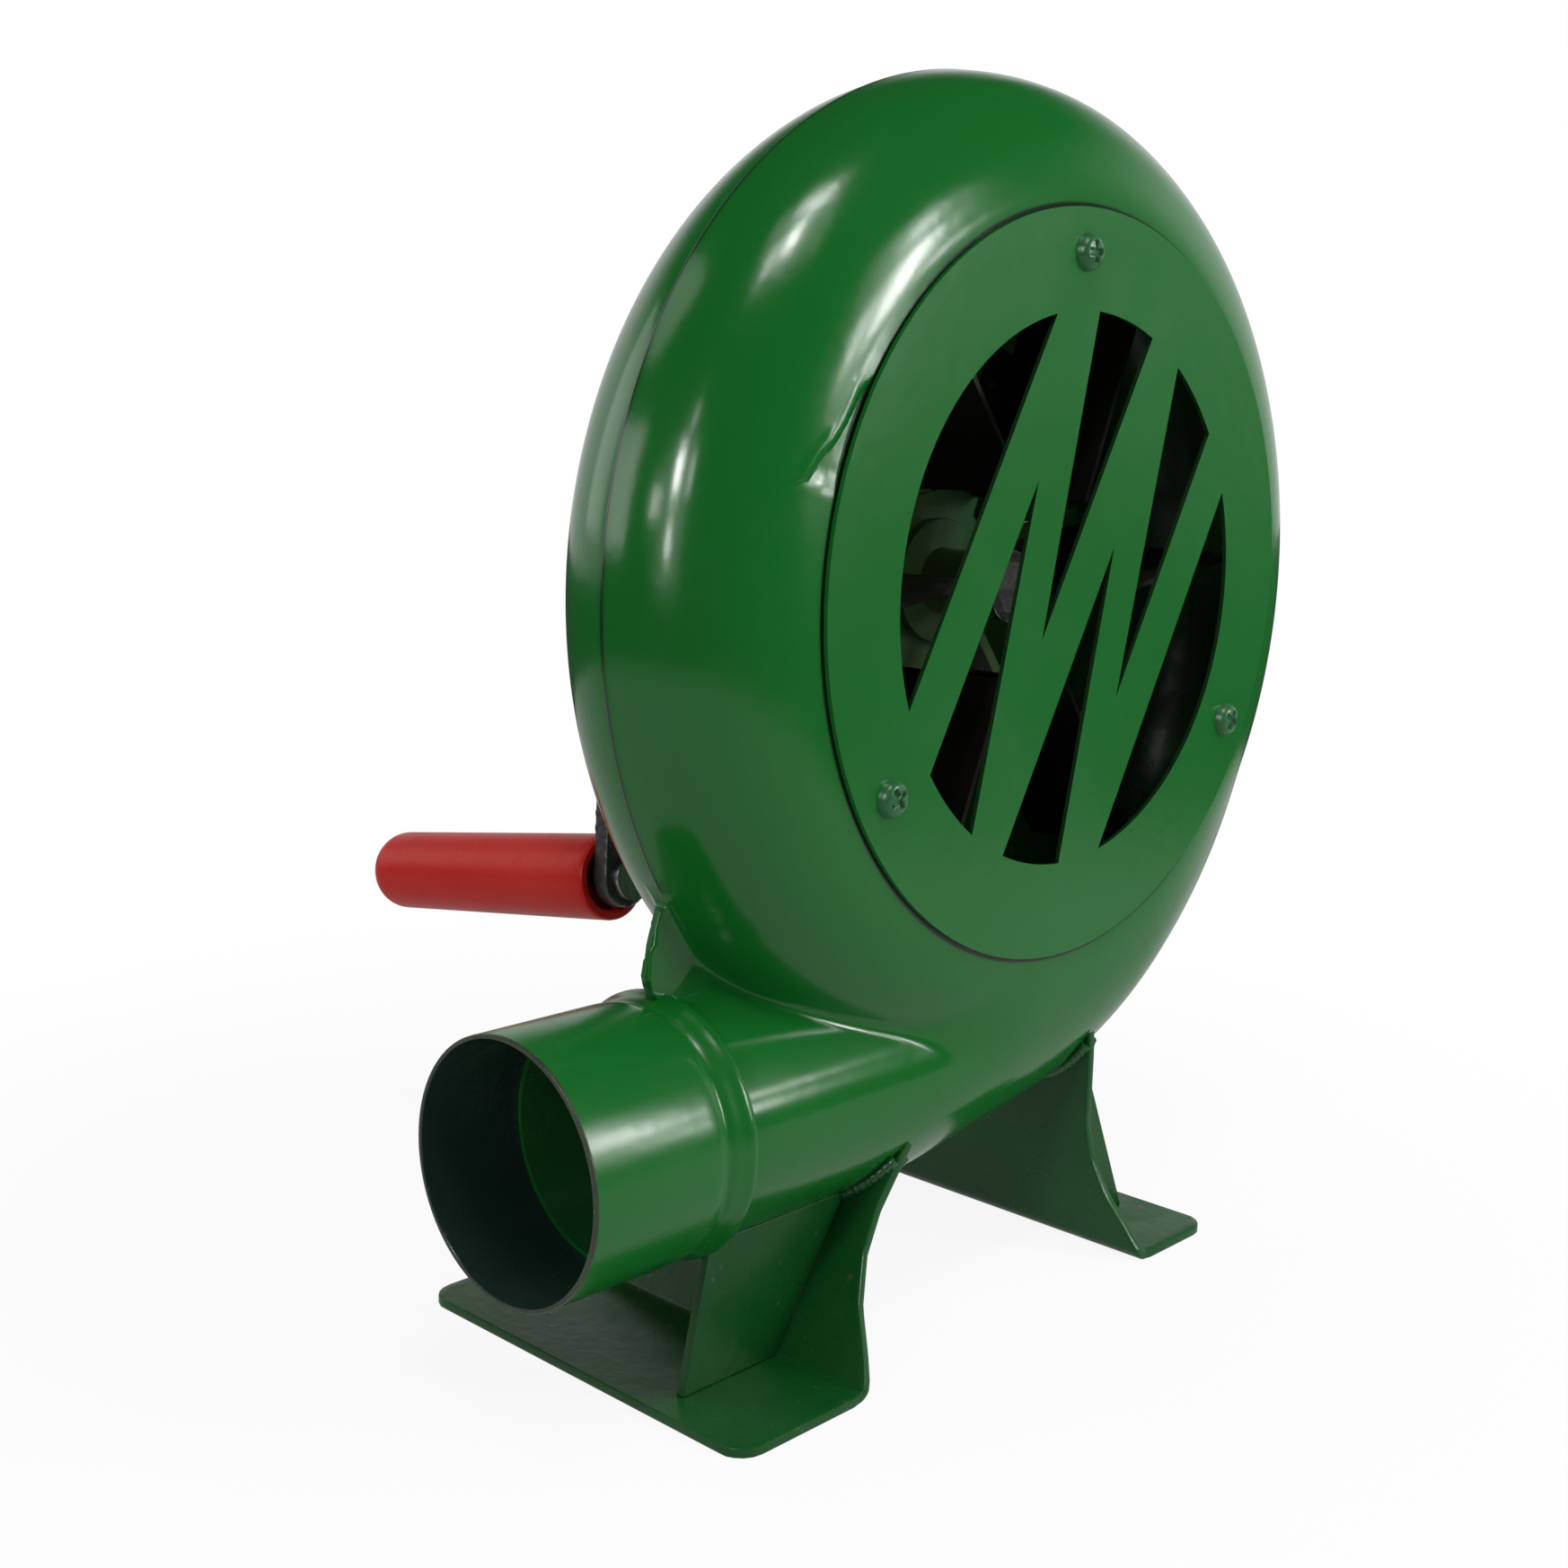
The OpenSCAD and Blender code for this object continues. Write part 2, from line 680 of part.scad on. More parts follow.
// Outline of the gear case: a circle about the crank shaft, one about the idler, and their tangents.
module case_outline(grow) {
    big = case_r + grow;
    small = idler_case_r + grow;
    s = sin(tangent_angle);
    c = cos(tangent_angle);
    translate([crank_x, axis_h]) rotate(slow_dir) {
        circle(big);
        translate([slow_reach, 0]) circle(small);
        polygon([
            [big * s, big * c], [slow_reach + small * s, small * c],
            [slow_reach + small * s, -small * c], [big * s, -big * c]
        ]);
    }
}

module gear_case() {
    color(green) placed() difference() {
        union() {
            from_y(wall_y, cover_y - wall_y) case_outline(case_wall);
            at_pillars() bar(0, wall_y, 0, pillar_r, cover_y - wall_y);
            bar(0, boss_front_y, axis_h, case_boss_r, bearing_boss_len + overrun);
        }
        difference() {
            from_y(floor_y, case_depth + overrun) case_outline(0);
            bar(crank_x, floor_y - overrun, axis_h, case_boss_r, crank_boss_len + overrun);
        }
        bar(0, boss_front_y - overrun, axis_h, bush_r + seat_gap, floor_y - boss_front_y + 2 * overrun);
        bar(crank_x, floor_y - side_gap, axis_h, crank_bush_r + seat_gap, crank_boss_len + overrun);
        bar(idler_x, wall_y - overrun, axis_h + idler_up, stud_thread_r + seat_gap, case_floor + 2 * overrun);
        at_pillars() bar(0, wall_y - overrun, 0, screw_r + bolt_gap, cover_y - wall_y + 2 * overrun);
    }
}

module gear_cover() {
    color(green) placed() difference() {
        union() {
            from_y(cover_y, cover_t) case_outline(case_wall);
            at_pillars() bar(0, cover_y, 0, pillar_r, cover_t);
            bar(crank_x, cover_y, axis_h, cover_boss_r, cover_t + cover_boss_len);
        }
        bar(crank_x, cover_y - overrun, axis_h, crank_bush_r + seat_gap, cover_t + cover_boss_len + 2 * overrun);
        at_pillars() bar(0, cover_y - overrun, 0, screw_r + bolt_gap, cover_t + 2 * overrun);
    }
}

module case_bolts() {
    tip_y = wall_y - sheet - nut_h - bolt_tip;
    color(zinc) placed() at_pillars() {
        bar(0, tip_y, 0, screw_r, cover_y + cover_t - tip_y);
        hex_bar(0, cover_y + cover_t, 0, nut_r, bolt_head_h);
    }
}

module case_nuts() {
    y = wall_y - sheet - nut_h;
    color(zinc) placed() at_pillars() difference() {
        hex_bar(0, y, 0, nut_r, nut_h);
        bar(0, y - overrun, 0, screw_r + seat_gap, nut_h + 2 * overrun);
    }
}

module bush(x, y, r_out, r_in, len) {
    turned(x, axis_h) translate([r_in, y]) square([r_out - r_in, len]);
}

module shaft_bushes() {
    color(bronze) placed() for (y = [boss_front_y, floor_y - bush_len])
        bush(0, y, bush_r, journal_r + run_gap, bush_len);
}

module inner_bush() {
    color(bronze) placed() bush(crank_x, floor_y - side_gap, crank_bush_r, shaft_r + run_gap, crank_boss_len + side_gap);
}

module outer_bush() {
    color(bronze) placed() bush(crank_x, cover_y, crank_bush_r, shaft_r + run_gap, cover_t + cover_boss_len);
}

module idler_stud() {
    front_y = wall_y - sheet - stud_stickout;
    journal_end = slow_y + slow_wheel_w + 2 * wheel_gap + clip_t;
    color(steel) placed() turned(idler_x, axis_h + idler_up) {
        translate([0, front_y]) square([stud_thread_r, floor_y - front_y]);
        translate([0, floor_y]) square([stud_collar_r, 1.5 * side_gap]);
        translate([0, floor_y]) square([stud_r, journal_end - floor_y]);
    }
}

module idler_nut() {
    y = wall_y - sheet - stud_nut_h;
    color(zinc) placed() difference() {
        hex_bar(idler_x, y, axis_h + idler_up, stud_nut_r, stud_nut_h);
        bar(idler_x, y - overrun, axis_h + idler_up, stud_thread_r + seat_gap, stud_nut_h + 2 * overrun);
    }
}

module idler_clip() {
    y = slow_y + slow_wheel_w + wheel_gap + side_gap;
    color(steel) placed() turned(idler_x, axis_h + idler_up)
        translate([stud_r + seat_gap, y]) square([clip_r - stud_r - seat_gap, clip_t]);
}

function involute_of(angle) = tan(angle) * 180 / PI - angle;
function flank_turn(r, base_r) = r > base_r ? involute_of(acos(base_r / r)) : 0;

// Points of one gear's outline, a tooth centred on the direction start.
module gear_outline(m, teeth, start) {
    pitch_r = m * teeth / 2;
    base_r = pitch_r * cos(pressure_angle);
    root_r = pitch_r - m * root_share;
    tip_r = pitch_r + m * tip_share;
    low_r = max(root_r, base_r);
    half = 90 / teeth - m * play_share / 4 / pitch_r * 180 / PI + involute_of(pressure_angle);
    radii = [root_r, for (i = [root_r < base_r ? 0 : 1 : 3]) low_r + (tip_r - low_r) * i / 3];
    last = len(radii) - 1;
    polygon([
        for (tooth = [0 : teeth - 1], side = [-1, 1], i = [0 : last])
            let (
                r = radii[side < 0 ? i : last - i],
                a = start + tooth * 360 / teeth + side * (half - flank_turn(r, base_r))
            ) [r * cos(a), r * sin(a)]
    ]);
}

fast_dir = idler_angle + 180;
slow_gear_start = slow_dir;
slow_pinion_start = slow_dir + 180 - 180 / slow_pinion_teeth;
fast_wheel_start = fast_dir;
fast_pinion_start = fast_dir + 180 - 180 / fast_pinion_teeth;

module idler_wheel() {
    color(steel) placed() translate([idler_x, 0, axis_h + idler_up]) from_y(fast_y, fast_wheel_w) difference() {
        gear_outline(fast_module, fast_wheel_teeth, fast_wheel_start);
        circle(stud_r + run_gap);
    }
}

module idler_pinion() {
    y = fast_y + fast_wheel_w;
    color(steel) placed() translate([idler_x, 0, axis_h + idler_up])
        from_y(y, slow_y + slow_wheel_w + wheel_gap - y) difference() {
            gear_outline(slow_module, slow_pinion_teeth, slow_pinion_start);
            circle(stud_r + run_gap);
        }
}

module at_paddles() {
    for (i = [0 : paddle_count - 1])
        translate([0, 0, axis_h]) rotate([0, -paddle_angle - i * 360 / paddle_count, 0]) children();
}

module impeller_spider() {
    color(iron) placed() difference() {
        translate([0, 0, axis_h]) from_y(spider_y, paddle_t) {
            circle(spider_r);
            for (i = [0 : paddle_count - 1]) rotate(paddle_angle + i * 360 / paddle_count)
                translate([spider_r * 0.75, -spider_arm_w / 2])
                    square([paddle_foot_r - spider_r * 0.75, spider_arm_w]);
        }
        bar(0, spider_y - overrun, axis_h, spindle_r + seat_gap, paddle_t + 2 * overrun);
        at_rivets() bar(0, spider_y - overrun, 0, rivet_r + seat_gap, paddle_t + 2 * overrun);
    }
}

module at_rivets() {
    at_paddles() for (r = [rivet_ring_in, rivet_ring_out])
        translate([r, 0, paddle_t / 2 + (paddle_foot_w - paddle_t) / 2 - spider_arm_w / 2 + paddle_t]) children();
}

module paddles() {
    foot_low = paddle_t - spider_arm_w / 2;
    color(iron) placed() difference() {
        at_paddles() {
            translate([paddle_start_r, -paddle_near, foot_low])
                cube([impeller_r - paddle_start_r, paddle_w, paddle_t]);
            translate([paddle_start_r, spider_y - paddle_t, foot_low])
                cube([paddle_foot_r - paddle_start_r, paddle_t, paddle_foot_w]);
        }
        at_rivets() bar(0, spider_y - paddle_t - overrun, 0, rivet_r + seat_gap, paddle_t + 2 * overrun);
    }
}

module paddle_rivets() {
    low = spider_y - paddle_t - rivet_head_h;
    high = spider_y + paddle_t;
    color(steel) placed() at_rivets() {
        bar(0, low, 0, rivet_head_r, rivet_head_h);
        bar(0, low, 0, rivet_r, high - low + rivet_head_h);
        bar(0, high, 0, rivet_head_r, rivet_head_h);
    }
}

module impeller_hub() {
    color(steel) placed() turned(0, axis_h) difference() {
        union() {
            translate([0, hub_y]) square([hub_r, hub_len]);
            translate([0, spider_y - hub_flange_t]) square([hub_flange_r, hub_flange_t]);
        }
        translate([0, hub_y - overrun]) square([spindle_r + seat_gap, hub_len + 2 * overrun]);
    }
}

module impeller_washer() {
    color(zinc) placed() turned(0, axis_h) translate([spindle_r + seat_gap, hub_y - hub_washer_t])
        square([hub_washer_r - spindle_r - seat_gap, hub_washer_t]);
}

module impeller_nut() {
    color(zinc) placed() difference() {
        hex_bar(0, nut_y, axis_h, hub_nut_r, hub_nut_h);
        bar(0, nut_y - overrun, axis_h, spindle_r + seat_gap, hub_nut_h + 2 * overrun);
    }
}

module impeller_shaft() {
    front_y = nut_y - bolt_tip;
    end_y = fast_y + fast_wheel_w + bolt_tip / 2;
    color(steel) placed() turned(0, axis_h) {
        translate([0, front_y]) square([spindle_r, collar_y - front_y]);
        translate([0, collar_y]) square([collar_r, collar_end_y - collar_y]);
        translate([0, collar_y]) square([journal_r, floor_y + side_gap - collar_y]);
        translate([0, collar_y]) square([pinion_seat_r, end_y - collar_y]);
    }
}

module impeller_pinion() {
    color(steel) placed() translate([0, 0, axis_h]) from_y(fast_y, fast_wheel_w) difference() {
        gear_outline(fast_module, fast_pinion_teeth, fast_pinion_start);
        circle(pinion_seat_r + seat_gap);
    }
}

module gear_pin_hole(r) {
    y = slow_y + slow_wheel_w + gear_hub_len / 2;
    translate([crank_x, y, axis_h - gear_hub_r]) cylinder(h = 2 * gear_hub_r, r = r);
}

module crank_gear() {
    color(iron) placed() difference() {
        union() {
            translate([crank_x, 0, axis_h]) from_y(slow_y, slow_wheel_w)
                gear_outline(slow_module, slow_wheel_teeth, slow_gear_start);
            bar(crank_x, slow_y, axis_h, gear_hub_r, slow_wheel_w + gear_hub_len);
        }
        bar(crank_x, slow_y - overrun, axis_h, shaft_r + seat_gap, slow_wheel_w + gear_hub_len + 2 * overrun);
        gear_pin_hole(gear_pin_r + seat_gap);
    }
}

module gear_pin() {
    color(steel) placed() intersection() {
        gear_pin_hole(gear_pin_r);
        bar(crank_x, slow_y, axis_h, gear_hub_r, slow_wheel_w + gear_hub_len);
    }
}

module crank_shaft() {
    end_y = hub_end_y + crank_nut_h + bolt_tip;
    color(steel) placed() difference() {
        turned(crank_x, axis_h) {
            translate([0, floor_y]) square([shaft_r, arm_hub_y - side_gap - floor_y]);
            translate([0, floor_y]) square([shaft_thread_r, end_y - floor_y]);
        }
        gear_pin_hole(gear_pin_r + seat_gap);
    }
    color(steel) placed() intersection() {
        bar(crank_x, arm_hub_y - side_gap, axis_h, shaft_r, arm_hub_len);
        translate([crank_x, 0, axis_h]) rotate([0, rest_angle, 0])
            translate([-shaft_r, arm_hub_y - side_gap, -flat_w / 2]) cube([2 * shaft_r, arm_hub_len, flat_w]);
    }
}

module thrust_washer() {
    color(zinc) placed() turned(crank_x, axis_h) translate([shaft_r + seat_gap, washer_y])
        square([thrust_washer_r - shaft_r - seat_gap, thrust_washer_t]);
}

// Puts the children on the arm: Y = 0 is its front face, Z = 0 the shaft's middle, -Z runs along it.
module on_arm() {
    translate([crank_x, arm_face_y, axis_h]) rotate([0, rest_angle, 0]) rotate([-arm_lean, 0, 0]) children();
}

module crank_arm() {
    color(black) placed() difference() {
        union() {
            on_arm() from_y(0, arm_t) {
                circle(arm_w / 2);
                translate([-arm_w / 2, -arm_len]) square([arm_w, arm_len]);
                translate([0, -arm_len]) circle(arm_w / 2);
            }
            bar(crank_x, arm_hub_y, axis_h, arm_hub_r, arm_hub_len);
        }
        intersection() {
            bar(crank_x, arm_hub_y - overrun, axis_h, shaft_r + seat_gap, arm_hub_len + 2 * overrun);
            translate([crank_x, 0, axis_h]) rotate([0, rest_angle, 0])
                translate([-2 * shaft_r, arm_hub_y - 2 * overrun, -flat_w / 2 - seat_gap])
                    cube([4 * shaft_r, arm_hub_len + 4 * overrun, flat_w + 2 * seat_gap]);
        }
        on_arm() bar(0, -overrun, -arm_len, pin_r + seat_gap, arm_t + 2 * overrun);
    }
}

module crank_nut() {
    color(zinc) placed() difference() {
        hex_bar(crank_x, hub_end_y, axis_h, crank_nut_r, crank_nut_h);
        bar(crank_x, hub_end_y - overrun, axis_h, shaft_thread_r + seat_gap, crank_nut_h + 2 * overrun);
    }
}

module grip_pin() {
    color(steel) placed() on_arm() turned(0, -arm_len) {
        translate([0, -pin_head_h]) square([pin_head_r, pin_head_h]);
        square([pin_r, arm_t + pin_len]);
        translate([0, arm_t]) square([pin_collar_r, pin_collar_t]);
    }
}

module pin_clip() {
    color(steel) placed() on_arm() turned(0, -arm_len)
        translate([pin_r + seat_gap, arm_t + pin_len - pin_clip_back])
            square([clip_r - pin_r - seat_gap, clip_t]);
}

module grip() {
    start = arm_t + side_gap;
    chamber = arm_t + pin_len - pin_clip_back - 3 * side_gap;
    color(red) placed() on_arm() turned(0, -arm_len) difference() {
        union() {
            polygon([
                [0, start], [grip_r, start], [grip_end_r, grip_tip - grip_round_r], [0, grip_tip - grip_round_r]
            ]);
            translate([grip_end_r - grip_round_r, grip_tip - grip_round_r]) quarter(grip_round_r);
            translate([0, grip_tip - grip_round_r]) square([grip_end_r - grip_round_r, grip_round_r]);
        }
        translate([0, start - overrun]) square([grip_recess_r, grip_recess_d + overrun]);
        translate([0, start - overrun]) square([pin_r + 2 * run_gap, chamber + overrun - start]);
        translate([0, chamber]) square([chamber_r, arm_t + pin_len + overrun - chamber]);
    }
}

front_shell();
back_shell();
outlet_tube();
inlet_plate();
plate_screws();
plate_nuts();
front_foot();
rear_foot();
front_gusset();
rear_gusset();
gear_case();
gear_cover();
case_bolts();
case_nuts();
shaft_bushes();
inner_bush();
outer_bush();
idler_stud();
idler_nut();
idler_clip();
idler_wheel();
idler_pinion();
impeller_spider();
paddles();
paddle_rivets();
impeller_hub();
impeller_washer();
impeller_nut();
impeller_shaft();
impeller_pinion();
crank_gear();
gear_pin();
crank_shaft();
thrust_washer();
crank_arm();
crank_nut();
grip_pin();
pin_clip();
grip();
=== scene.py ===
import math

import bmesh
import bpy
import numpy as np
from mathutils import Matrix, Vector


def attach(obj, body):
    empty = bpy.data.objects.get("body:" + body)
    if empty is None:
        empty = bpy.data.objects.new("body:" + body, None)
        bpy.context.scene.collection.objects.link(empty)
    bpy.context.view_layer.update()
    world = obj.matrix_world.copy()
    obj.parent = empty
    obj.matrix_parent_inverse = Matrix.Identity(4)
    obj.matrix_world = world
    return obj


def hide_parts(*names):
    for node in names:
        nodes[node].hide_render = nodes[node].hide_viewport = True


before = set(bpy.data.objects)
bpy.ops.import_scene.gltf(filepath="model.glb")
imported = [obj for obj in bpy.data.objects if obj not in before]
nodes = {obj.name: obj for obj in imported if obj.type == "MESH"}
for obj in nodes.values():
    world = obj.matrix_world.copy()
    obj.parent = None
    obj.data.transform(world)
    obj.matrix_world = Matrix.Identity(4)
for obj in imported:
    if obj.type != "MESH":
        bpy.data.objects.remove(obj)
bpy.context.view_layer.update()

# The picture is taken from low at the outlet's side, level with the fan's middle. The camera is placed
# by its turn, its rise and a slight lean.
scene = bpy.context.scene
scene.view_settings.view_transform = "Standard"

eye = Vector((-0.40668, -0.41075, 0.23184))
azimuth, elevation, lean = math.radians(-46.56), math.radians(10.295), math.radians(1.393)
back = Vector((math.sin(azimuth) * math.cos(elevation), -math.cos(azimuth) * math.cos(elevation),
               math.sin(elevation)))
side = (-back).cross(Vector((0, 0, 1))).normalized()
over = side.cross(-back).normalized()
cam_right = math.cos(lean) * side + math.sin(lean) * over
cam_up = -math.sin(lean) * side + math.cos(lean) * over
cam_data = bpy.data.cameras.new("camera")
cam_data.lens, cam_data.sensor_width = 45.377, 36
cam_data.clip_start, cam_data.clip_end = 0.02, 50
camera = bpy.data.objects.new("camera", cam_data)
turned = Matrix((cam_right, cam_up, back)).transposed()
camera.matrix_world = Matrix.Translation(eye) @ turned.to_4x4()
scene.collection.objects.link(camera)
scene.camera = camera

# Light as in a workshop by day: a skylight, a window on the left, one on the right and one behind,
# each a few bright panes in a soft glow, and three wide boxes that only fill the shadows.
lit_middle = Vector((0, -0.06, 0.2))
lamp_reach = 1.6
daylight = (1, 0.995, 0.98)


def lamp_at(name, turn, rise, size, radiance):
    """A lamp seen from the middle at that turn from the front and rise, as bright as radiance says."""
    a, e = math.radians(turn), math.radians(rise)
    data = bpy.data.lights.new(name, "AREA")
    data.shape, data.size, data.size_y = "RECTANGLE", size[0], size[1]
    data.energy, data.color = radiance * math.pi * size[0] * size[1], daylight
    obj = bpy.data.objects.new(name, data)
    obj.location = lit_middle + lamp_reach * Vector((math.sin(a) * math.cos(e),
                                                     -math.cos(a) * math.cos(e), math.sin(e)))
    obj.rotation_mode = "QUATERNION"
    obj.rotation_quaternion = (lit_middle - obj.location).to_track_quat("-Z", "Y")
    scene.collection.objects.link(obj)
    return obj


for name, turn, rise, size, radiance in (
        ("skylight_a", -35, 64, (0.14, 0.17), 34), ("skylight_b", -50, 61, (0.10, 0.16), 15),
        ("skylight_c", -18, 72, (0.20, 0.17), 14), ("skylight_d", -36, 74, (0.16, 0.12), 10),
        ("skylight_glow", -35, 67, (0.70, 0.62), 1.6),
        ("window_left_a", -76.5, 21, (0.20, 0.20), 34), ("window_left_b", -77, 8, (0.18, 0.16), 17),
        ("window_left_c", -93, 15, (0.14, 0.13), 13), ("window_left_d", -64, 20, (0.10, 0.20), 8),
        ("window_left_e", -71, 31, (0.11, 0.10), 7), ("window_left_glow", -77, 13, (0.72, 0.80), 1.1),
        ("window_behind", -117, 16, (0.26, 0.62), 3.4),
        ("window_behind_high", -134, 46, (0.4, 0.5), 1.4),
        ("window_behind_wide", -154, 20, (0.62, 0.9), 1.3),
        ("window_right_a", 33.5, 18, (0.15, 0.30), 34), ("window_right_b", 32, 28, (0.12, 0.12), 19),
        ("window_right_c", 42, 14, (0.08, 0.10), 17), ("window_right_d", 25, 16, (0.11, 0.20), 14),
        ("window_right_e", 38, 6, (0.09, 0.15), 24), ("window_right_glow", 31, 17, (0.58, 0.85), 1.4)):
    pane = lamp_at(name, turn, rise, size, radiance)
    pane.visible_diffuse = not name.startswith("window_left") or name == "window_left_a"
for name, turn, rise, size, radiance in (
        ("softbox_front", 30, 40, (1.4, 1.2), 1.25), ("softbox_top", 10, 82, (0.8, 0.8), 1.1),
        ("softbox_side", 70, 10, (1.1, 0.6), 3.3)):
    lamp_at(name, turn, rise, size, radiance).visible_glossy = False

# The room: white where the camera looks, a low pale wall behind the machine and a dim room before it
# where the enamel mirrors them, and an even grey light besides.
white = (1.0, 1.0, 1.0)


def set_inputs(tree, made, inputs):
    """Sets a node's inputs, each to a plain value or to another node's output."""
    for key, value in inputs.items():
        if isinstance(value, bpy.types.NodeSocket):
            tree.links.new(value, made.inputs[key])
        else:
            made.inputs[key].default_value = value


def add_node(tree, kind, inputs=None, **settings):
    made = tree.nodes.new(kind)
    for key, value in settings.items():
        setattr(made, key, value)
    set_inputs(tree, made, inputs or {})
    return made


def reckon(tree, operation, *parts):
    return add_node(tree, "ShaderNodeMath", dict(enumerate(parts)), operation=operation).outputs[0]


def vector(tree, operation, *parts, out="Value"):
    made = add_node(tree, "ShaderNodeVectorMath", dict(enumerate(parts)), operation=operation)
    return made.outputs[out]


def soft_step(tree, value, low, high, bottom=0.0, top=1.0):
    return add_node(tree, "ShaderNodeMapRange", {
        "Value": value, "From Min": low, "From Max": high, "To Min": bottom, "To Max": top},
        interpolation_type="SMOOTHSTEP").outputs["Result"]


def mix_colors(tree, factor, a, b):
    """A mix of two colours, each a plain colour or another node's output."""
    a, b = ((*part, 1) if isinstance(part, tuple) else part for part in (a, b))
    return add_node(tree, "ShaderNodeMix", {"Factor": factor, "A": a, "B": b},
                    data_type="RGBA").outputs["Result"]


def rays(tree, *kinds):
    """1 for the light path's named rays, else 0."""
    path = add_node(tree, "ShaderNodeLightPath")
    out = path.outputs[kinds[0]]
    for kind in kinds[1:]:
        out = reckon(tree, "MAXIMUM", out, path.outputs[kind])
    return out


world = bpy.data.worlds.new("paper white")
scene.world = world
world.use_nodes = True
room = world.node_tree
toward = add_node(room, "ShaderNodeTexCoord").outputs["Generated"]
facing_wall = vector(room, "DOT_PRODUCT", toward, (0.574, 0.819, 0))
height = add_node(room, "ShaderNodeSeparateXYZ", {0: toward}).outputs["Z"]
wall_share = reckon(room, "MULTIPLY", soft_step(room, facing_wall, -0.1, 0.4),
                    soft_step(room, height, 0.62, 0.30))
mirrored = mix_colors(room, wall_share, (0.03, 0.032, 0.035), (0.78, 0.785, 0.79))
lit = mix_colors(room, rays(room, "Is Glossy Ray"), (0.24, 0.244, 0.25), mirrored)
seen_room = mix_colors(room, rays(room, "Is Camera Ray", "Is Transmission Ray"), lit, white)
set_inputs(room, room.nodes["Background"], {"Color": seen_room})

# The floor is white paper. It keeps the machine's shadow near the feet and runs out into the white,
# and the enamel mirrors it as a bench that ends two hand spans from the feet.
floor_mesh = bpy.data.meshes.new("floor")
floor_mesh.from_pydata([(-6, -6, 0), (6, -6, 0), (6, 6, 0), (-6, 6, 0)], [], [(0, 1, 2, 3)])
floor = bpy.data.objects.new("floor", floor_mesh)
scene.collection.objects.link(floor)
paper = bpy.data.materials.new("paper")
paper.use_nodes = True
sheet = paper.node_tree
cover = sheet.nodes["Principled BSDF"]
set_inputs(sheet, cover, {"Base Color": (0.78, 0.78, 0.78, 1), "Roughness": 0.9,
                          "Specular IOR Level": 0.1})
spot = add_node(sheet, "ShaderNodeTexCoord").outputs["Object"]
from_middle = vector(sheet, "LENGTH", spot)
fade = soft_step(sheet, from_middle, 0.14, 0.40, bottom=0.90)
bench = soft_step(sheet, from_middle, 0.80, 0.66, bottom=0.04, top=0.5)
mirror = rays(sheet, "Is Glossy Ray")
seen = reckon(sheet, "MULTIPLY_ADD", fade, rays(sheet, "Is Camera Ray", "Is Transmission Ray"), mirror)
glow = add_node(sheet, "ShaderNodeEmission", {"Color": mix_colors(sheet, mirror, white, bench)})
blend_in = add_node(sheet, "ShaderNodeMixShader", {0: seen, 1: cover.outputs[0], 2: glow.outputs[0]})
set_inputs(sheet, sheet.nodes["Material Output"], {"Surface": blend_in.outputs[0]})
floor_mesh.materials.append(paper)

# The scroll casing: two halves pressed from 1.2 mm sheet steel, a front one and a back one, joined
# round their rims. The front one's edge flares a little over the back one's, and both run out into
# the neck. A bright green enamel is sprayed over the joined parts.
MM = 0.001
mid_x, mid_y = -15.5, 79.29053
axis_z = 191.0
rim_out, drum_x = 131.0, -2.2
front_rim, back_rim = 33.5, 32.2
sheet_t = 1.2
neck_end, neck_top = -131.0, 105.0
plate_edge_r, plate_gap_from = 96.2, -32.2
inlet_hole = (0, axis_z), 80.0, 120         # middle, radius and the points round it
air_hole = (57, axis_z + 37), 18.0, 72
stud_hole = (36, axis_z + 30), 2.5, 24
boss_hole = (0, axis_z), 13.3, 48
enamel = (0.0045, 0.107, 0.0130), (0.0070, 0.120, 0.019), (0.10, 0.075, 0.055)
# The dark colour that the enamel is mixed towards, as painted shade along the seam and round the plate.
painted_shade_color = (0.0012, 0.006, 0.002)
bump_depth = 0.001


def socket(group, name, kind, way, value=None):
    made = group.interface.new_socket(name, in_out=way, socket_type=kind)
    if value is not None:
        made.default_value = value


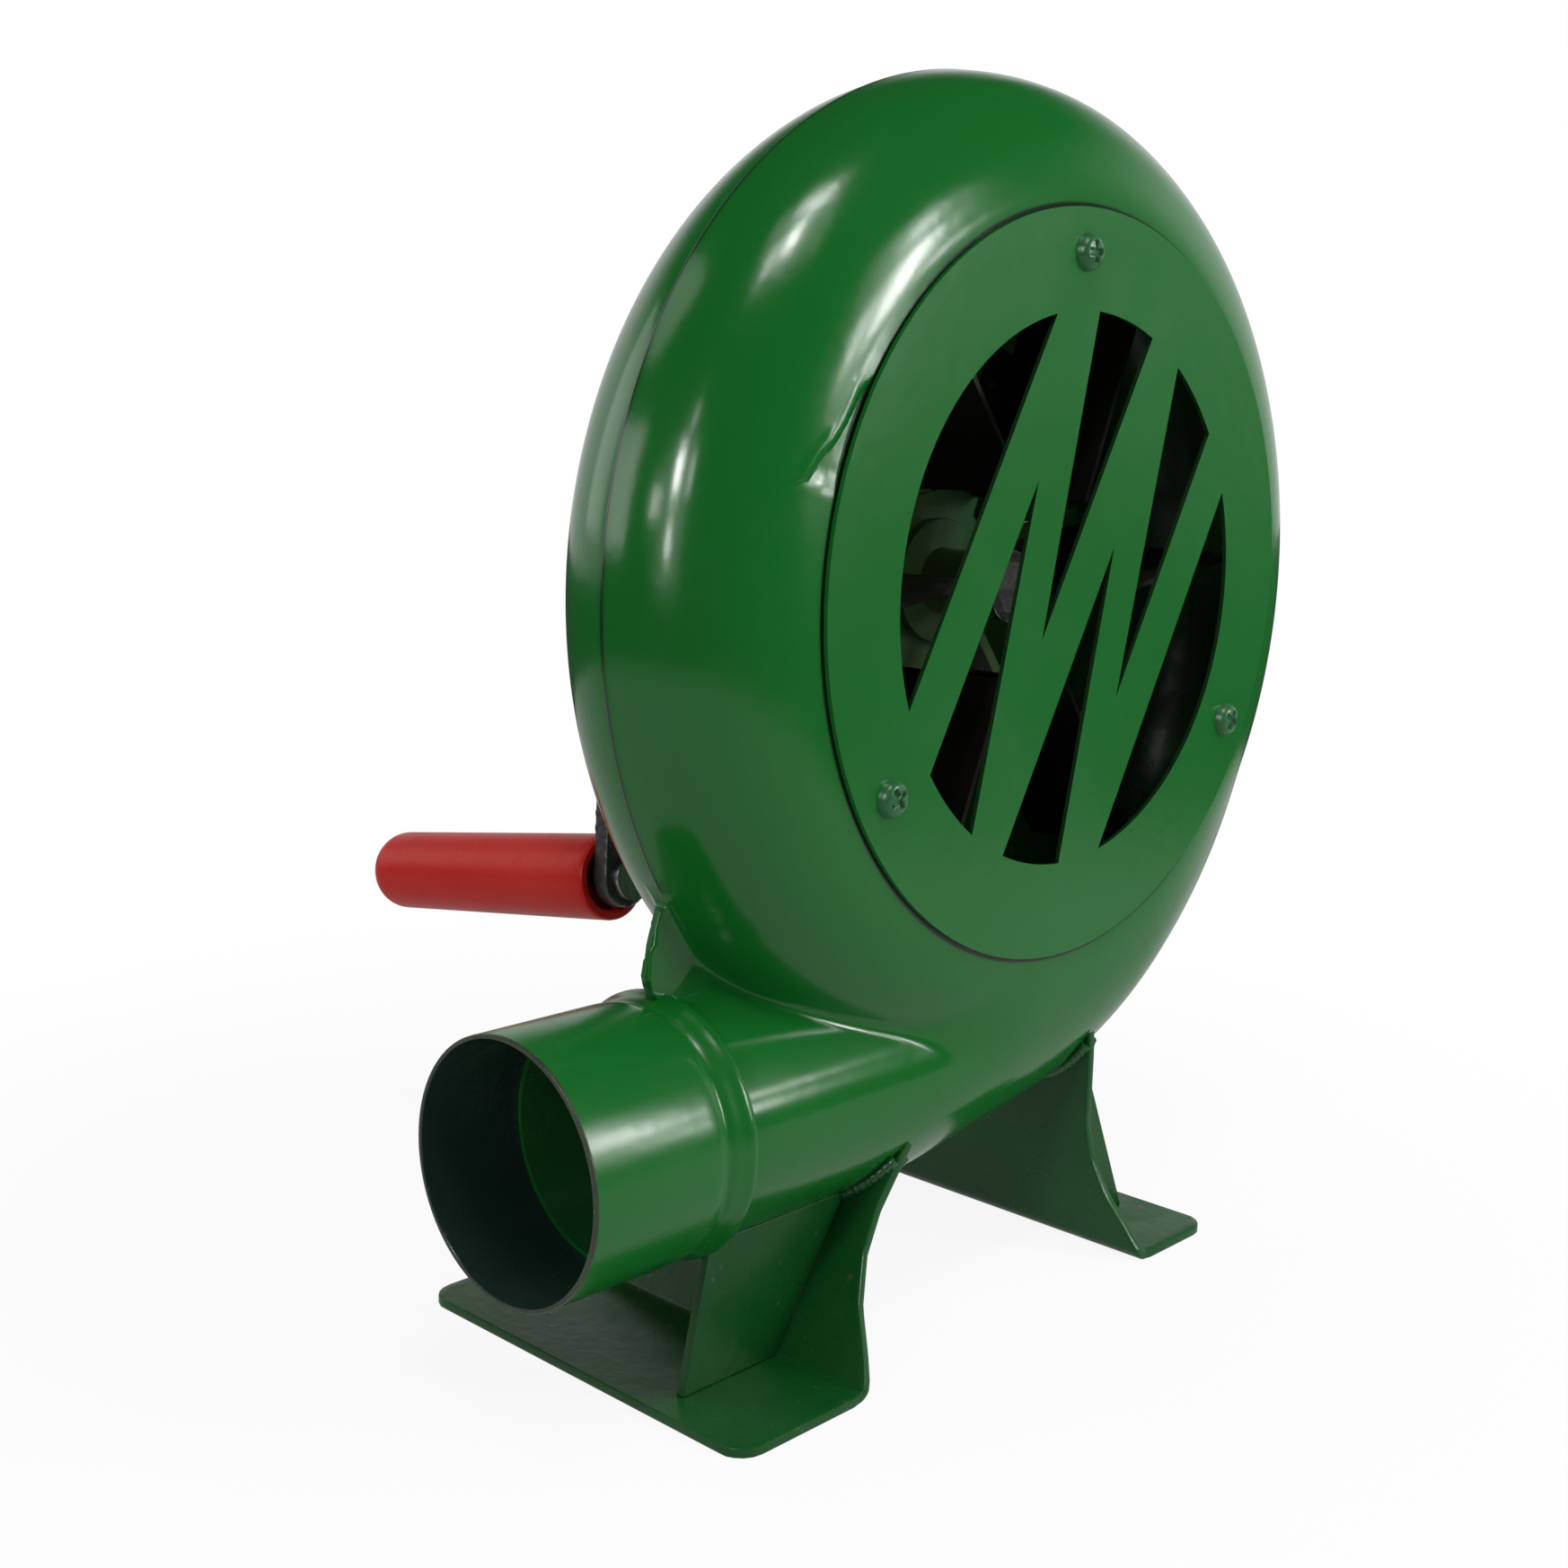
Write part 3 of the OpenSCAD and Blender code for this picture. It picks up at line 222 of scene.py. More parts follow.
def finish_group():
    """Colour, roughness and height of a surface with a peel, duller worn patches and chips."""
    g = bpy.data.node_groups.new("coat", "ShaderNodeTree")
    for label in ("Coat", "Worn", "Bare"):
        socket(g, label, "NodeSocketColor", "INPUT", (0, 0, 0, 1))
    for label, value in (("Patch Size", 20.0), ("Peel Size", 600.0), ("Wear", 0.2), ("Chips", 0.0),
                         ("Smooth", 0.15), ("Dull", 0.4)):
        socket(g, label, "NodeSocketFloat", "INPUT", value)
    for label, kind in (("Color", "Color"), ("Roughness", "Float"), ("Height", "Float")):
        socket(g, label, "NodeSocket" + kind, "OUTPUT")
    given = add_node(g, "NodeGroupInput").outputs
    where = add_node(g, "ShaderNodeTexCoord").outputs["Object"]

    def noise(size, detail, finer=1.0):
        return add_node(g, "ShaderNodeTexNoise", {
            "Vector": where, "Scale": reckon(g, "MULTIPLY", given[size], finer),
            "Detail": detail}).outputs["Fac"]

    patches = soft_step(g, noise("Patch Size", 5), 0.35, 0.75)
    specks = soft_step(g, noise("Patch Size", 8, finer=14.0), 0.66, 0.74)
    streaks = soft_step(g, noise("Patch Size", 6, finer=5.0), 0.3, 0.8)
    worn = reckon(g, "MULTIPLY", patches, given["Wear"])
    chips = reckon(g, "MULTIPLY", specks, given["Chips"])
    coat = mix_colors(g, worn, given["Coat"], given["Worn"])
    roughness = add_node(g, "ShaderNodeMix", {
        "Factor": reckon(g, "MULTIPLY", streaks, patches), "A": given["Smooth"], "B": given["Dull"]})
    height = reckon(g, "SUBTRACT", noise("Peel Size", 2), reckon(g, "MULTIPLY", chips, 2.0))
    add_node(g, "NodeGroupOutput", {
        "Color": mix_colors(g, chips, coat, given["Bare"]), "Roughness": roughness.outputs["Result"],
        "Height": height})
    return g


coat_group = finish_group()


def coated(name, coat, worn, bare, patch, wear, smooth, dull, bump, peel=260, chips=0.0, metal=0.0,
           level=0.5, painted_shade=None):
    mat = bpy.data.materials.new(name)
    mat.use_nodes = True
    t = mat.node_tree
    varied = add_node(t, "ShaderNodeGroup", {
        "Coat": (*coat, 1), "Worn": (*worn, 1), "Bare": (*bare, 1), "Patch Size": patch,
        "Peel Size": peel, "Wear": wear, "Chips": chips, "Smooth": smooth, "Dull": dull},
        node_tree=coat_group).outputs
    color = varied["Color"]
    # Where a mask is given, the colour darkens towards painted shade.
    if painted_shade is not None:
        color = mix_colors(t, painted_shade(t), color, painted_shade_color)
    lift = add_node(t, "ShaderNodeBump", {
        "Strength": bump, "Distance": bump_depth, "Height": varied["Height"]})
    set_inputs(t, t.nodes["Principled BSDF"], {
        "Base Color": color, "Roughness": varied["Roughness"], "Normal": lift.outputs["Normal"],
        "Metallic": metal, "Specular IOR Level": level})
    return mat


def joint_painted_shade(tree):
    """Painted shade in the seam, from its attribute, and a painted shadow in the gap round the inlet
    plate.
    """
    seam = add_node(tree, "ShaderNodeAttribute", attribute_name="painted_shade").outputs["Fac"]
    spot = add_node(tree, "ShaderNodeTexCoord").outputs["Object"]
    flat = vector(tree, "MULTIPLY_ADD", spot, (1, 0, 1), (mid_x * MM, 0, -axis_z * MM), out="Vector")
    off = reckon(tree, "SUBTRACT", vector(tree, "LENGTH", flat), plate_edge_r * MM)
    along_y = add_node(tree, "ShaderNodeSeparateXYZ", {0: spot}).outputs["Y"]
    gap = reckon(tree, "MULTIPLY", soft_step(tree, reckon(tree, "ABSOLUTE", off), 0.0014, 0.0003),
                 reckon(tree, "LESS_THAN", along_y, (plate_gap_from - mid_y) * MM))
    return reckon(tree, "MAXIMUM", gap, seam)


# The casing's enamel, darkened as painted shade in the seam and as a painted shadow in the gap round the
# inlet plate.
green_casing = coated("casing_enamel", *enamel, patch=9, peel=190, wear=0.5, smooth=0.155, dull=0.24,
                      bump=0.04, painted_shade=joint_painted_shade)
green_inside = coated("green_inside", (0.012, 0.105, 0.024), (0.045, 0.105, 0.02), (0.06, 0.04, 0.02),
                      patch=26, wear=0.8, chips=0.4, smooth=0.22, dull=0.55, bump=0.1)


def row(points):
    """Places measured from the fan's axis and the casing's seam, in mm, as the frame's metres."""
    p = np.array(points, float)
    p[..., 0] -= mid_x
    p[..., 1] -= mid_y
    return p * MM


def mesh_object(name, verts, faces, mats, where=None):
    mesh = bpy.data.meshes.new(name)
    mesh.from_pydata([tuple(v) for v in verts], [], [tuple(int(i) for i in f) for f in faces])
    for m in mats:
        mesh.materials.append(m)
    if where is not None:
        mesh.polygons.foreach_set("material_index", np.array(where, np.int32))
    obj = bpy.data.objects.new(name, mesh)
    scene.collection.objects.link(obj)
    return obj


def face_outwards(obj, join=None):
    """Turns every face outwards, and first joins points that are closer than join."""
    bm = bmesh.new()
    bm.from_mesh(obj.data)
    if join:
        bmesh.ops.remove_doubles(bm, verts=bm.verts, dist=join)
    bmesh.ops.recalc_face_normals(bm, faces=bm.faces)
    bm.to_mesh(obj.data)
    bm.free()


def grid_faces(lines, points, lines_closed, points_closed):
    """Faces between neighbouring lines of points, closed round where told."""
    faces = []
    for i in range(lines if lines_closed else lines - 1):
        for k in range(points if points_closed else points - 1):
            j, m = (i + 1) % lines, (k + 1) % points
            faces.append((i * points + k, i * points + m, j * points + m, j * points + k))
    return faces


def turns(count):
    return [2 * math.pi * i / count for i in range(count)]


def lathe(profile, steps=96, closed=True):
    """Turns (radius, along) pairs about the Y axis. A closed profile gives a ring."""
    verts = [(r * math.cos(a), y, r * math.sin(a)) for a in turns(steps) for r, y in profile]
    return np.array(verts), grid_faces(steps, len(profile), True, closed)


# The scroll's tube runs on an arc round the drum's foot, dives a little and levels out into the neck.
tube_mid = 107.0
neck_radius, neck_off, neck_z = 30.5, 0.6, 65.6
scroll_mid = np.array((-11.1, 179.1))
dive = math.radians(9)
dive_from = scroll_mid + tube_mid * np.array((math.sin(dive), -math.cos(dive)))
dive_run = (dive_from[1] - neck_z - tube_mid * (1 - math.cos(dive))) / math.sin(dive)
dive_to = dive_from - dive_run * np.array((math.cos(dive), math.sin(dive)))
elbow_mid = np.array((dive_to[0] - tube_mid * math.sin(dive), neck_z + tube_mid))
web_edge = np.array([(-116, 97.0), (-117.5, 100.0), (-118.8, 103.0), (-117.5, 109.5), (-114.6, 119.0),
                     (-92, 128), (-30, 116), (-30, 93), (-104, 91.5)])
web_half = 1.4


def line_gap(q, a, b):
    ab = b - a
    t = np.clip(((q - a) @ ab) / (ab @ ab), 0, 1)
    return np.linalg.norm(q - (a + t[:, None] * ab), axis=1)


def arc_gap(q, mid, radius, start, stop):
    rel = q - mid
    ang = np.degrees(np.arctan2(rel[:, 1], rel[:, 0])) % 360
    on = np.abs(np.linalg.norm(rel, axis=1) - radius)
    ends = [mid + radius * np.array((math.cos(math.radians(a)), math.sin(math.radians(a))))
            for a in (start, stop)]
    off = np.minimum(*[np.linalg.norm(q - e, axis=1) for e in ends])
    return np.where((ang >= start) & (ang <= stop), on, off)


def area_gap(q, corners):
    inside = np.zeros(len(q), bool)
    gap = np.full(len(q), 1e9)
    for a, b in zip(corners, np.roll(corners, -1, axis=0)):
        gap = np.minimum(gap, line_gap(q, a, b))
        crosses = (a[1] > q[:, 1]) != (b[1] > q[:, 1])
        at = (b[0] - a[0]) * (q[:, 1] - a[1]) / (b[1] - a[1] + 1e-12) + a[0]
        inside ^= crosses & (q[:, 0] < at)
    return np.where(inside, -gap, gap)


def ramp_to(x, start, stop):
    t = np.clip((x - start) / (stop - start), 0, 1)
    return t * t * (3 - 2 * t)


def soft_min(a, b, k):
    h = np.clip(0.5 + 0.5 * (b - a) / k, 0, 1)
    return b + (a - b) * h - k * h * (1 - h)


def drum_gap(p):
    """Distance from the drum's skin, negative inside."""
    r = np.hypot(p[:, 0] - drum_x, p[:, 2] - axis_z)
    rim = np.where(p[:, 1] < 0, front_rim, back_rim)
    return np.hypot(np.maximum(r - (rim_out - rim), 0), p[:, 1]) - rim


def neck_gap(p):
    """Distance from the skin of the scroll's tube, the neck and the web above it."""
    q = p[:, (0, 2)]
    run = np.minimum.reduce([
        arc_gap(q, scroll_mid, tube_mid, 279, 359.9),
        line_gap(q, dive_from, dive_to),
        arc_gap(q, elbow_mid, tube_mid, 270, 279),
        line_gap(q, np.array((elbow_mid[0], neck_z)), np.array((-160.0, neck_z)))])
    tube = np.hypot(run, p[:, 1] - neck_off) - neck_radius
    flat = area_gap(q, web_edge)
    web = np.maximum(flat, np.abs(p[:, 1]) - web_half)
    spread = 1.0 + 13.0 * ramp_to(p[:, 0], -113, -98)
    return soft_min(tube, web, spread)


def casing_gap(p):
    """Distance from the casing's outer skin."""
    x = p[:, 0]
    merge = 3.0 + 9.0 * ramp_to(x, -60, -5) * ramp_to(x, 95, 45) - 2.2 * ramp_to(x, 45, 95)
    return soft_min(drum_gap(p), neck_gap(p), merge)


def slope(p, gap=casing_gap):
    step = 0.02
    g = np.empty_like(p)
    for k in range(3):
        d = np.zeros(3)
        d[k] = step
        g[:, k] = (gap(p + d) - gap(p - d)) / (2 * step)
    return g


def settle(p, rounds, flat=False):
    """Moves points onto the skin, or within their own plane Y = const where flat."""
    for _ in range(rounds):
        g = slope(p)
        if flat:
            g[:, 1] = 0
        p = p - g * (casing_gap(p) / np.maximum((g * g).sum(axis=1), 0.2))[:, None]
    return p


def bent(mid, degrees):
    """Places on the scroll tube's middle line, at those angles round a middle."""
    return [mid + tube_mid * np.array((math.cos(a), math.sin(a))) for a in np.radians(degrees)]


def union_skin(size):
    """One closed skin round the drum, the scroll's tube, the neck and the web."""
    steps, ring = 120, 48
    arc = np.radians(np.linspace(0, 90, 13))
    back_flat, front_flat = rim_out - back_rim, rim_out - front_rim
    profile = [(back_flat + back_rim * math.sin(a), back_rim * math.cos(a)) for a in arc]
    profile += [(front_flat + front_rim * math.cos(a), -front_rim * math.sin(a)) for a in arc[1:]]
    profile = [(0.01, back_rim)] + profile + [(0.01, -front_rim)]
    verts, faces = lathe(profile, steps, closed=False)
    edge = [i * len(profile) for i in range(steps)]
    parts = [(verts + (drum_x, 0, axis_z), faces + [edge[::-1], [i + len(profile) - 1 for i in edge]])]
    route = bent(scroll_mid, np.arange(-2, -82, -4.0)) + [dive_from, dive_to]
    route += bent(elbow_mid, (-83.0, -86.0, -89.0))
    route += [np.array((elbow_mid[0] - 1.5, neck_z)), np.array((-140.0, neck_z))]
    verts = []
    for i, c in enumerate(route):
        ahead = route[min(i + 1, len(route) - 1)] - route[max(i - 1, 0)]
        ahead = ahead / np.linalg.norm(ahead)
        for a in turns(ring):
            out = np.array((-ahead[1], ahead[0])) * neck_radius * math.cos(a)
            verts.append((c[0] + out[0], neck_off + neck_radius * math.sin(a), c[1] + out[1]))
    edge = list(range(ring))
    ends = [edge[::-1], [(len(route) - 1) * ring + j for j in edge]]
    parts.append((np.array(verts), grid_faces(len(route), ring, False, True) + ends))
    n = len(web_edge)
    verts = [(x, y, z) for y in (-web_half, web_half) for x, z in web_edge]
    faces = [list(range(n)), list(range(n, 2 * n))[::-1]]
    faces += [(i, n + i, n + (i + 1) % n, (i + 1) % n) for i in range(n)]
    parts.append((np.array(verts, float), faces))
    faces, start = [], 0
    for v, f in parts:
        faces += [[start + i for i in face] for face in f]
        start += len(v)
    rough = mesh_object("rough", np.vstack([v for v, _ in parts]), faces, [])
    face_outwards(rough)
    remesh = rough.modifiers.new("skin", "REMESH")
    remesh.mode, remesh.voxel_size = "VOXEL", size
    made = bpy.data.meshes.new_from_object(rough.evaluated_get(bpy.context.evaluated_depsgraph_get()))
    bpy.data.objects.remove(rough)
    return made


skin = union_skin(1.9)
at = np.empty(len(skin.vertices) * 3)
skin.vertices.foreach_get("co", at)
skin.vertices.foreach_set("co", settle(at.reshape(-1, 3), 6).ravel())


def circle_loop(bm, mid, radius, y, count):
    ring = [bm.verts.new((mid[0] + radius * math.cos(a), y, mid[1] + radius * math.sin(a)))
            for a in turns(count)]
    return [bm.edges.new((ring[i], ring[(i + 1) % count])) for i in range(count)]


def drum_part(p):
    """1 on the drum's own rim, 0 on the neck, the web and the blends."""
    return ramp_to(np.abs(drum_gap(p)), 2.6, 0.9) * ramp_to(neck_gap(p), 1.0, 5.0)


def fold_height(p):
    """A fold that the press left in the shoulder by the plate: a sharp crease, then a shallow dent."""
    # radius and turn round the drum, all along the crease
    crease = np.array([(94.5, 146.0), (96.9, 149.1), (97.2, 152.7), (97.8, 155.1), (99.2, 158.0),
                       (101.2, 159.9), (102.4, 161.7), (103.4, 163.3), (107.1, 164.7), (110, 165.5)])
    r = np.hypot(p[:, 0] - drum_x, p[:, 2] - axis_z)
    turn = np.degrees(np.arctan2(p[:, 2] - axis_z, p[:, 0] - drum_x))
    past = (np.interp(turn, crease[:, 1], crease[:, 0], left=60, right=200) - r) * 0.75
    along = ramp_to(turn, 146, 151) * ramp_to(turn, 178, 162)
    along *= ramp_to(r, 111, 103) * ramp_to(r, 92.5, 95)
    inner = np.clip(past / 1.0, 0, 1) * np.exp(-np.maximum(past, 0) / 9.0) * ramp_to(turn, 165.3, 161)
    lip = (0.12 + 0.28 * ramp_to(turn, 154, 160)) * np.exp(-((past + 1.0) / 1.2) ** 2)
    return np.where((p[:, 1] < -20) & (p[:, 0] < drum_x), (lip - 0.75 * inner) * along, 0.0)


def front_relief(p):
    """The front half's edge flares over the back one, its face falls away beyond the plate's edge."""
    y = np.minimum(p[:, 1], 0)
    flare = -0.6 * (1 - np.exp(y / 2.6)) - 0.35 * np.clip(1 + y / 0.7, 0, 1) ** 2
    edge = flare * ramp_to(p[:, 1], -26, -12) * drum_part(p)
    r = np.hypot(p[:, 0], p[:, 2] - axis_z)
    fall = -0.8 * ramp_to(r, 92.5, 110) * ramp_to(p[:, 1], -14, -25)
    return edge + fall + fold_height(p)


def back_relief(p):
    """The back half's edge is set in below the front one's."""
    return -0.65 * drum_part(p) * ramp_to(p[:, 1], 28, 10)


def casing_half(name, way, holes, flat_r):
    """One half as a closed sheet: way is -1 for the front one and +1 for the back one."""
    bm = bmesh.new()
    bm.from_mesh(skin)

    def cut(co, no, clear=False, below=1e3):
        faces = [f for f in bm.faces if max(v.co.z for v in f.verts) < below]
        parts = dict.fromkeys(g for f in faces for g in (*f.verts, *f.edges, f))
        bmesh.ops.bisect_plane(bm, geom=list(parts), dist=1e-4,
                               plane_co=co, plane_no=no, clear_outer=clear)

    # The mesh is finer where the neck meets the drum, along the seam and round the fold.
    corners = np.array([v.co[:] for v in bm.verts])
    crease = (np.abs(drum_gap(corners) - neck_gap(corners)) < 5.5) & (np.abs(corners[:, 1]) < 31)
    bmesh.ops.subdivide_edges(bm, edges=[e for e in bm.edges if all(crease[v.index] for v in e.verts)],
                              cuts=2, use_grid_fill=True)
    cut((0, 0, 0), (0, -way, 0), clear=True)
    cut((neck_end, 0, 0), (-1, 0, 0), clear=True, below=neck_top)
    for past in (0.35, 0.8, 1.6) + ((3.0, 5.5) if way < 0 else ()):
        cut((0, way * past, 0), (0, 1, 0))
    if way < 0:
        fold = [e for e in bm.edges if all(
            -112 < v.co.x < -74 and 208 < v.co.z < 250 and v.co.y < -22 for v in e.verts)]
        bmesh.ops.subdivide_edges(bm, edges=fold, cuts=2, use_grid_fill=True)
    # The flat wall is taken out and filled again with its holes.
    wall = back_rim if way > 0 else -front_rim
    flat = [f for f in bm.faces if all(math.hypot(v.co.x - drum_x, v.co.z - axis_z) < flat_r
                                       and abs(v.co.y - wall) < 1 for v in f.verts)]
    bmesh.ops.delete(bm, geom=flat, context="FACES")
    bmesh.ops.delete(bm, geom=[v for v in bm.verts if not v.link_faces], context="VERTS")
    loop = [e for e in bm.edges if e.is_boundary and all(abs(v.co.y - wall) < 1 for v in e.verts)]
    for v in {v for e in loop for v in e.verts}:
        d = Vector((v.co.x - drum_x, 0, v.co.z - axis_z)).normalized() * flat_r
        v.co = Vector((drum_x + d.x, wall, axis_z + d.z))
    for mid, radius, count in holes:
        loop += circle_loop(bm, mid, radius, wall, count)
    bmesh.ops.triangle_fill(bm, use_beauty=True, edges=loop, normal=(0, way, 0))
    bmesh.ops.triangulate(bm, faces=[f for f in bm.faces if len(f.verts) > 4])
    bmesh.ops.recalc_face_normals(bm, faces=bm.faces)
    bm.verts.index_update()
    p = np.array([v.co[:] for v in bm.verts])
    faces = [[v.index for v in f.verts] for f in bm.faces]
    centre = faces[int(np.argmin(p[[f[0] for f in faces], 2]))]
    a, b, c = (p[centre[i]] for i in range(3))
    if np.cross(b - a, c - a) @ slope(np.array([a]))[0] < 0:
        faces = [f[::-1] for f in faces]
    bm.free()
    # The points go back onto the skin, and from there out or in by the half's own relief.
    edge = np.abs(p[:, 1]) < 1e-3
    p[edge] = settle(p[edge], 5, flat=True)
    free = ~edge & (np.abs(p[:, 1] - wall) > 0.02)
    p[free] = settle(p[free], 2)
    relief = front_relief if way < 0 else back_relief
    n = slope(p)
    n[edge, 1] = 0
    n /= np.linalg.norm(n, axis=1)[:, None]
    face = np.hypot(p[:, 0], p[:, 2] - axis_z) < flat_r + 1e-3
    p = p + n * (relief(p) * ~(face & (np.abs(p[:, 1] - wall) < 0.02)))[:, None]
    p[edge, 1] = 0
    # Light falls on the true slopes, and painted shade lies along the seam.
    shade = slope(p, lambda q: casing_gap(q) - relief(q))
    shade /= np.maximum(np.linalg.norm(shade, axis=1), 1e-6)[:, None]
    painted_shade = 0.85 * np.exp(-((p[:, 1] + 0.4) / 0.8) ** 2) * drum_part(p)
    # The inside is set in by the sheet's thickness, and strips close the open edges.
    inner = p - n * sheet_t
    total = len(p)
    used = dict.fromkeys((i, j) for f in faces for i, j in zip(f, f[1:] + f[:1]))
    ring = [(i, j) for i, j in used if (j, i) not in used]
    all_faces = faces + [[i + total for i in f[::-1]] for f in faces]
    all_faces += [(j, i, i + total, j + total) for i, j in ring]
    where = [0] * len(faces) + [1] * len(faces) + [0] * len(ring)
    obj = mesh_object(name, row(np.vstack((p, inner))), all_faces, [green_casing, green_inside], where)
    mesh = obj.data
    kept = mesh.attributes.new("painted_shade", "FLOAT", "POINT")
    kept.data.foreach_set("value", np.concatenate((painted_shade, np.zeros(total))))
    mesh.polygons.foreach_set("use_smooth", np.ones(len(mesh.polygons), bool))
    corners = np.empty(len(mesh.loops), np.int32)
    mesh.loops.foreach_get("vertex_index", corners)
    normals = np.vstack((shade, -n))[corners]
    flat_from = sum(len(f) for f in faces) * 2
    rim_n = np.empty(len(mesh.polygons) * 3)
    mesh.polygons.foreach_get("normal", rim_n)
    rim_n = rim_n.reshape(-1, 3)[2 * len(faces):]
    normals[flat_from:] = np.repeat(rim_n, 4, axis=0)
    mesh.normals_split_custom_set([tuple(v) for v in normals])
    return obj


def fit_out(piece, *stands_for, body="stand", slot="green_paint"):
    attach(piece, body)
    if stands_for:
        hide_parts(*stands_for)


for node, name, way, holes, flat_r in (
        ("front_shell", "casing_front", -1, [inlet_hole], 92.0),
        ("back_shell", "casing_back", 1, [air_hole, stud_hole, boss_hole], 94.0)):
    fit_out(casing_half(name, way, holes, flat_r), node)

# The inlet plate: a flat ring of sheet on the front half, punched with five slanting strokes that
# keep fingers out. It is cut with a die, so its edges are only just eased, and it is painted over
# together with the rest.
slots_reach = 90.0


def solid_shape(node, whole_faces=False):
    """A solid's points and faces, with its flat faces in one piece where asked."""
    bm = bmesh.new()
    bm.from_mesh(nodes[node].data)
    bmesh.ops.remove_doubles(bm, verts=bm.verts, dist=2e-6)
    if whole_faces:
        bmesh.ops.dissolve_limit(bm, angle_limit=math.radians(0.4), verts=bm.verts, edges=bm.edges)
    bm.verts.index_update()
    shape = [v.co[:] for v in bm.verts], [[v.index for v in f.verts] for f in bm.faces]
    bm.free()
    return shape


def ease_edges(obj, width, angle):
    """Takes the burr off the edges that turn by more than the angle."""
    bevel = obj.modifiers.new("edges", "BEVEL")
    bevel.width, bevel.segments = width * MM, 2
    bevel.limit_method, bevel.angle_limit = "ANGLE", math.radians(angle)


def plain(obj, angle=None):
    """The evaluated mesh in place of the modifiers, smooth up to an angle."""
    made = bpy.data.meshes.new_from_object(obj.evaluated_get(bpy.context.evaluated_depsgraph_get()))
    obj.modifiers.clear()
    obj.data = made
    if not made.has_custom_normals:
        made.polygons.foreach_set("use_smooth", np.ones(len(made.polygons), bool))
        if angle is not None:
            made.set_sharp_from_angle(angle=math.radians(angle))
    return obj


def eased(node, name, width, mats, angle=35):
    """A solid's shape with eased edges, shaded so that flat faces stay flat between them."""
    obj = mesh_object(name, *solid_shape(node, whole_faces=True), mats)
    obj.data.polygons.foreach_set("use_smooth", np.ones(len(obj.data.polygons), bool))
    ease_edges(obj, width, angle)
    even = obj.modifiers.new("shading", "WEIGHTED_NORMAL")
    even.weight, even.keep_sharp = 100, False
    return plain(obj, angle)


plate_green = coated("plate_enamel", (0.0055, 0.110, 0.0150), (0.0085, 0.122, 0.022),
                     (0.10, 0.09, 0.06), patch=12, peel=150, wear=0.7, smooth=0.22, dull=0.30, bump=0.1)
# The side faces inside the slots get a far darker green than the plate's face: painted shade in the
# openings.
slot_side_shade = coated("slot_side_shade", (0.0030, 0.026, 0.006), (0.006, 0.034, 0.009), (0.02, 0.02, 0.01),
                   patch=30, wear=0.8, smooth=0.4, dull=0.6, bump=0.1, level=0.2)
plate = eased("inlet_plate", "guard_plate", 0.35, [plate_green, slot_side_shade])
for face in plate.data.polygons:
    from_axis = math.hypot(face.center.x + mid_x * MM, face.center.z - axis_z * MM)
    if abs(face.normal.y) < 0.2 and from_axis < slots_reach * MM:
        face.material_index = 1
fit_out(plate, "inlet_plate")

# Three M5 pan head screws with a cross recess hold the plate. The spray gun went over them too, so
# the crosses are half filled with paint and a little of it has gathered round each head.
screw_ring_r, first_screw_turn = 85.0, 92.2
head_r, head_high, skirt_wide = 4.75, 3.0, 0.9
cross_wide, cross_deep = 1.1, 1.1
shank_r, shank_len = 2.5, 8.0
paint_lift = 0.03


def new_tree(name, *inputs):
    """A geometry tree that takes a piece, those inputs and a material, and its incoming sockets."""
    g = bpy.data.node_groups.new(name, "GeometryNodeTree")
    for label, kind, value in (("Geometry", "Geometry", None), *inputs, ("Finish", "Material", None)):
        socket(g, label, "NodeSocket" + kind, "INPUT", value)
    socket(g, "Geometry", "NodeSocketGeometry", "OUTPUT")
    return g, add_node(g, "NodeGroupInput").outputs


def end_tree(g, shape, finish):
    """Makes the tree's copies real and gives them the material."""
    real = add_node(g, "GeometryNodeRealizeInstances", {0: shape})
    finished = add_node(g, "GeometryNodeSetMaterial", {"Geometry": real.outputs[0], "Material": finish})
    add_node(g, "NodeGroupOutput", {0: finished.outputs[0]})


def ring_tree():
    """Sets the incoming piece round a ring that faces along Y, and joins the copies into one mesh."""
    g, given = new_tree("set round a ring", ("Count", "Int", 3), ("Radius", "Float", 0.085),
                        ("First Turn", "Float", 0.0), ("Middle", "Vector", (0, 0, 0)))
    share = reckon(g, "DIVIDE", add_node(g, "GeometryNodeInputIndex").outputs[0], given["Count"])
    first = reckon(g, "MULTIPLY", given["First Turn"], -1)
    angle = reckon(g, "MULTIPLY_ADD", share, -2 * math.pi, first)
    out = add_node(g, "ShaderNodeCombineXYZ", {"X": given["Radius"]})
    turn = add_node(g, "ShaderNodeVectorRotate", {"Vector": out.outputs[0], "Angle": angle},
                    rotation_type="Y_AXIS")
    place = vector(g, "ADD", turn.outputs[0], given["Middle"], out="Vector")
    ring = add_node(g, "GeometryNodeMeshLine", {"Count": given["Count"], "Offset": (0, 0, 0)},
                    mode="OFFSET")
    put = add_node(g, "GeometryNodeSetPosition", {"Geometry": ring.outputs[0], "Position": place})
    spin = add_node(g, "ShaderNodeCombineXYZ", {"Y": angle})
    lay = add_node(g, "GeometryNodeInstanceOnPoints", {
        "Points": put.outputs[0], "Instance": given["Geometry"], "Rotation": spin.outputs[0]})
    end_tree(g, lay.outputs[0], given["Finish"])
    return g


def grow(obj, tree, inputs, angle=None):
    """Runs a geometry tree on a piece with those inputs and keeps what it makes."""
    mod = obj.modifiers.new("tree", "NODES")
    mod.node_group = tree
    ids = {s.name: s.identifier for s in tree.interface.items_tree if s.in_out == "INPUT"}
    for label, value in inputs.items():
        mod[ids[label]] = value
    return plain(obj, angle)


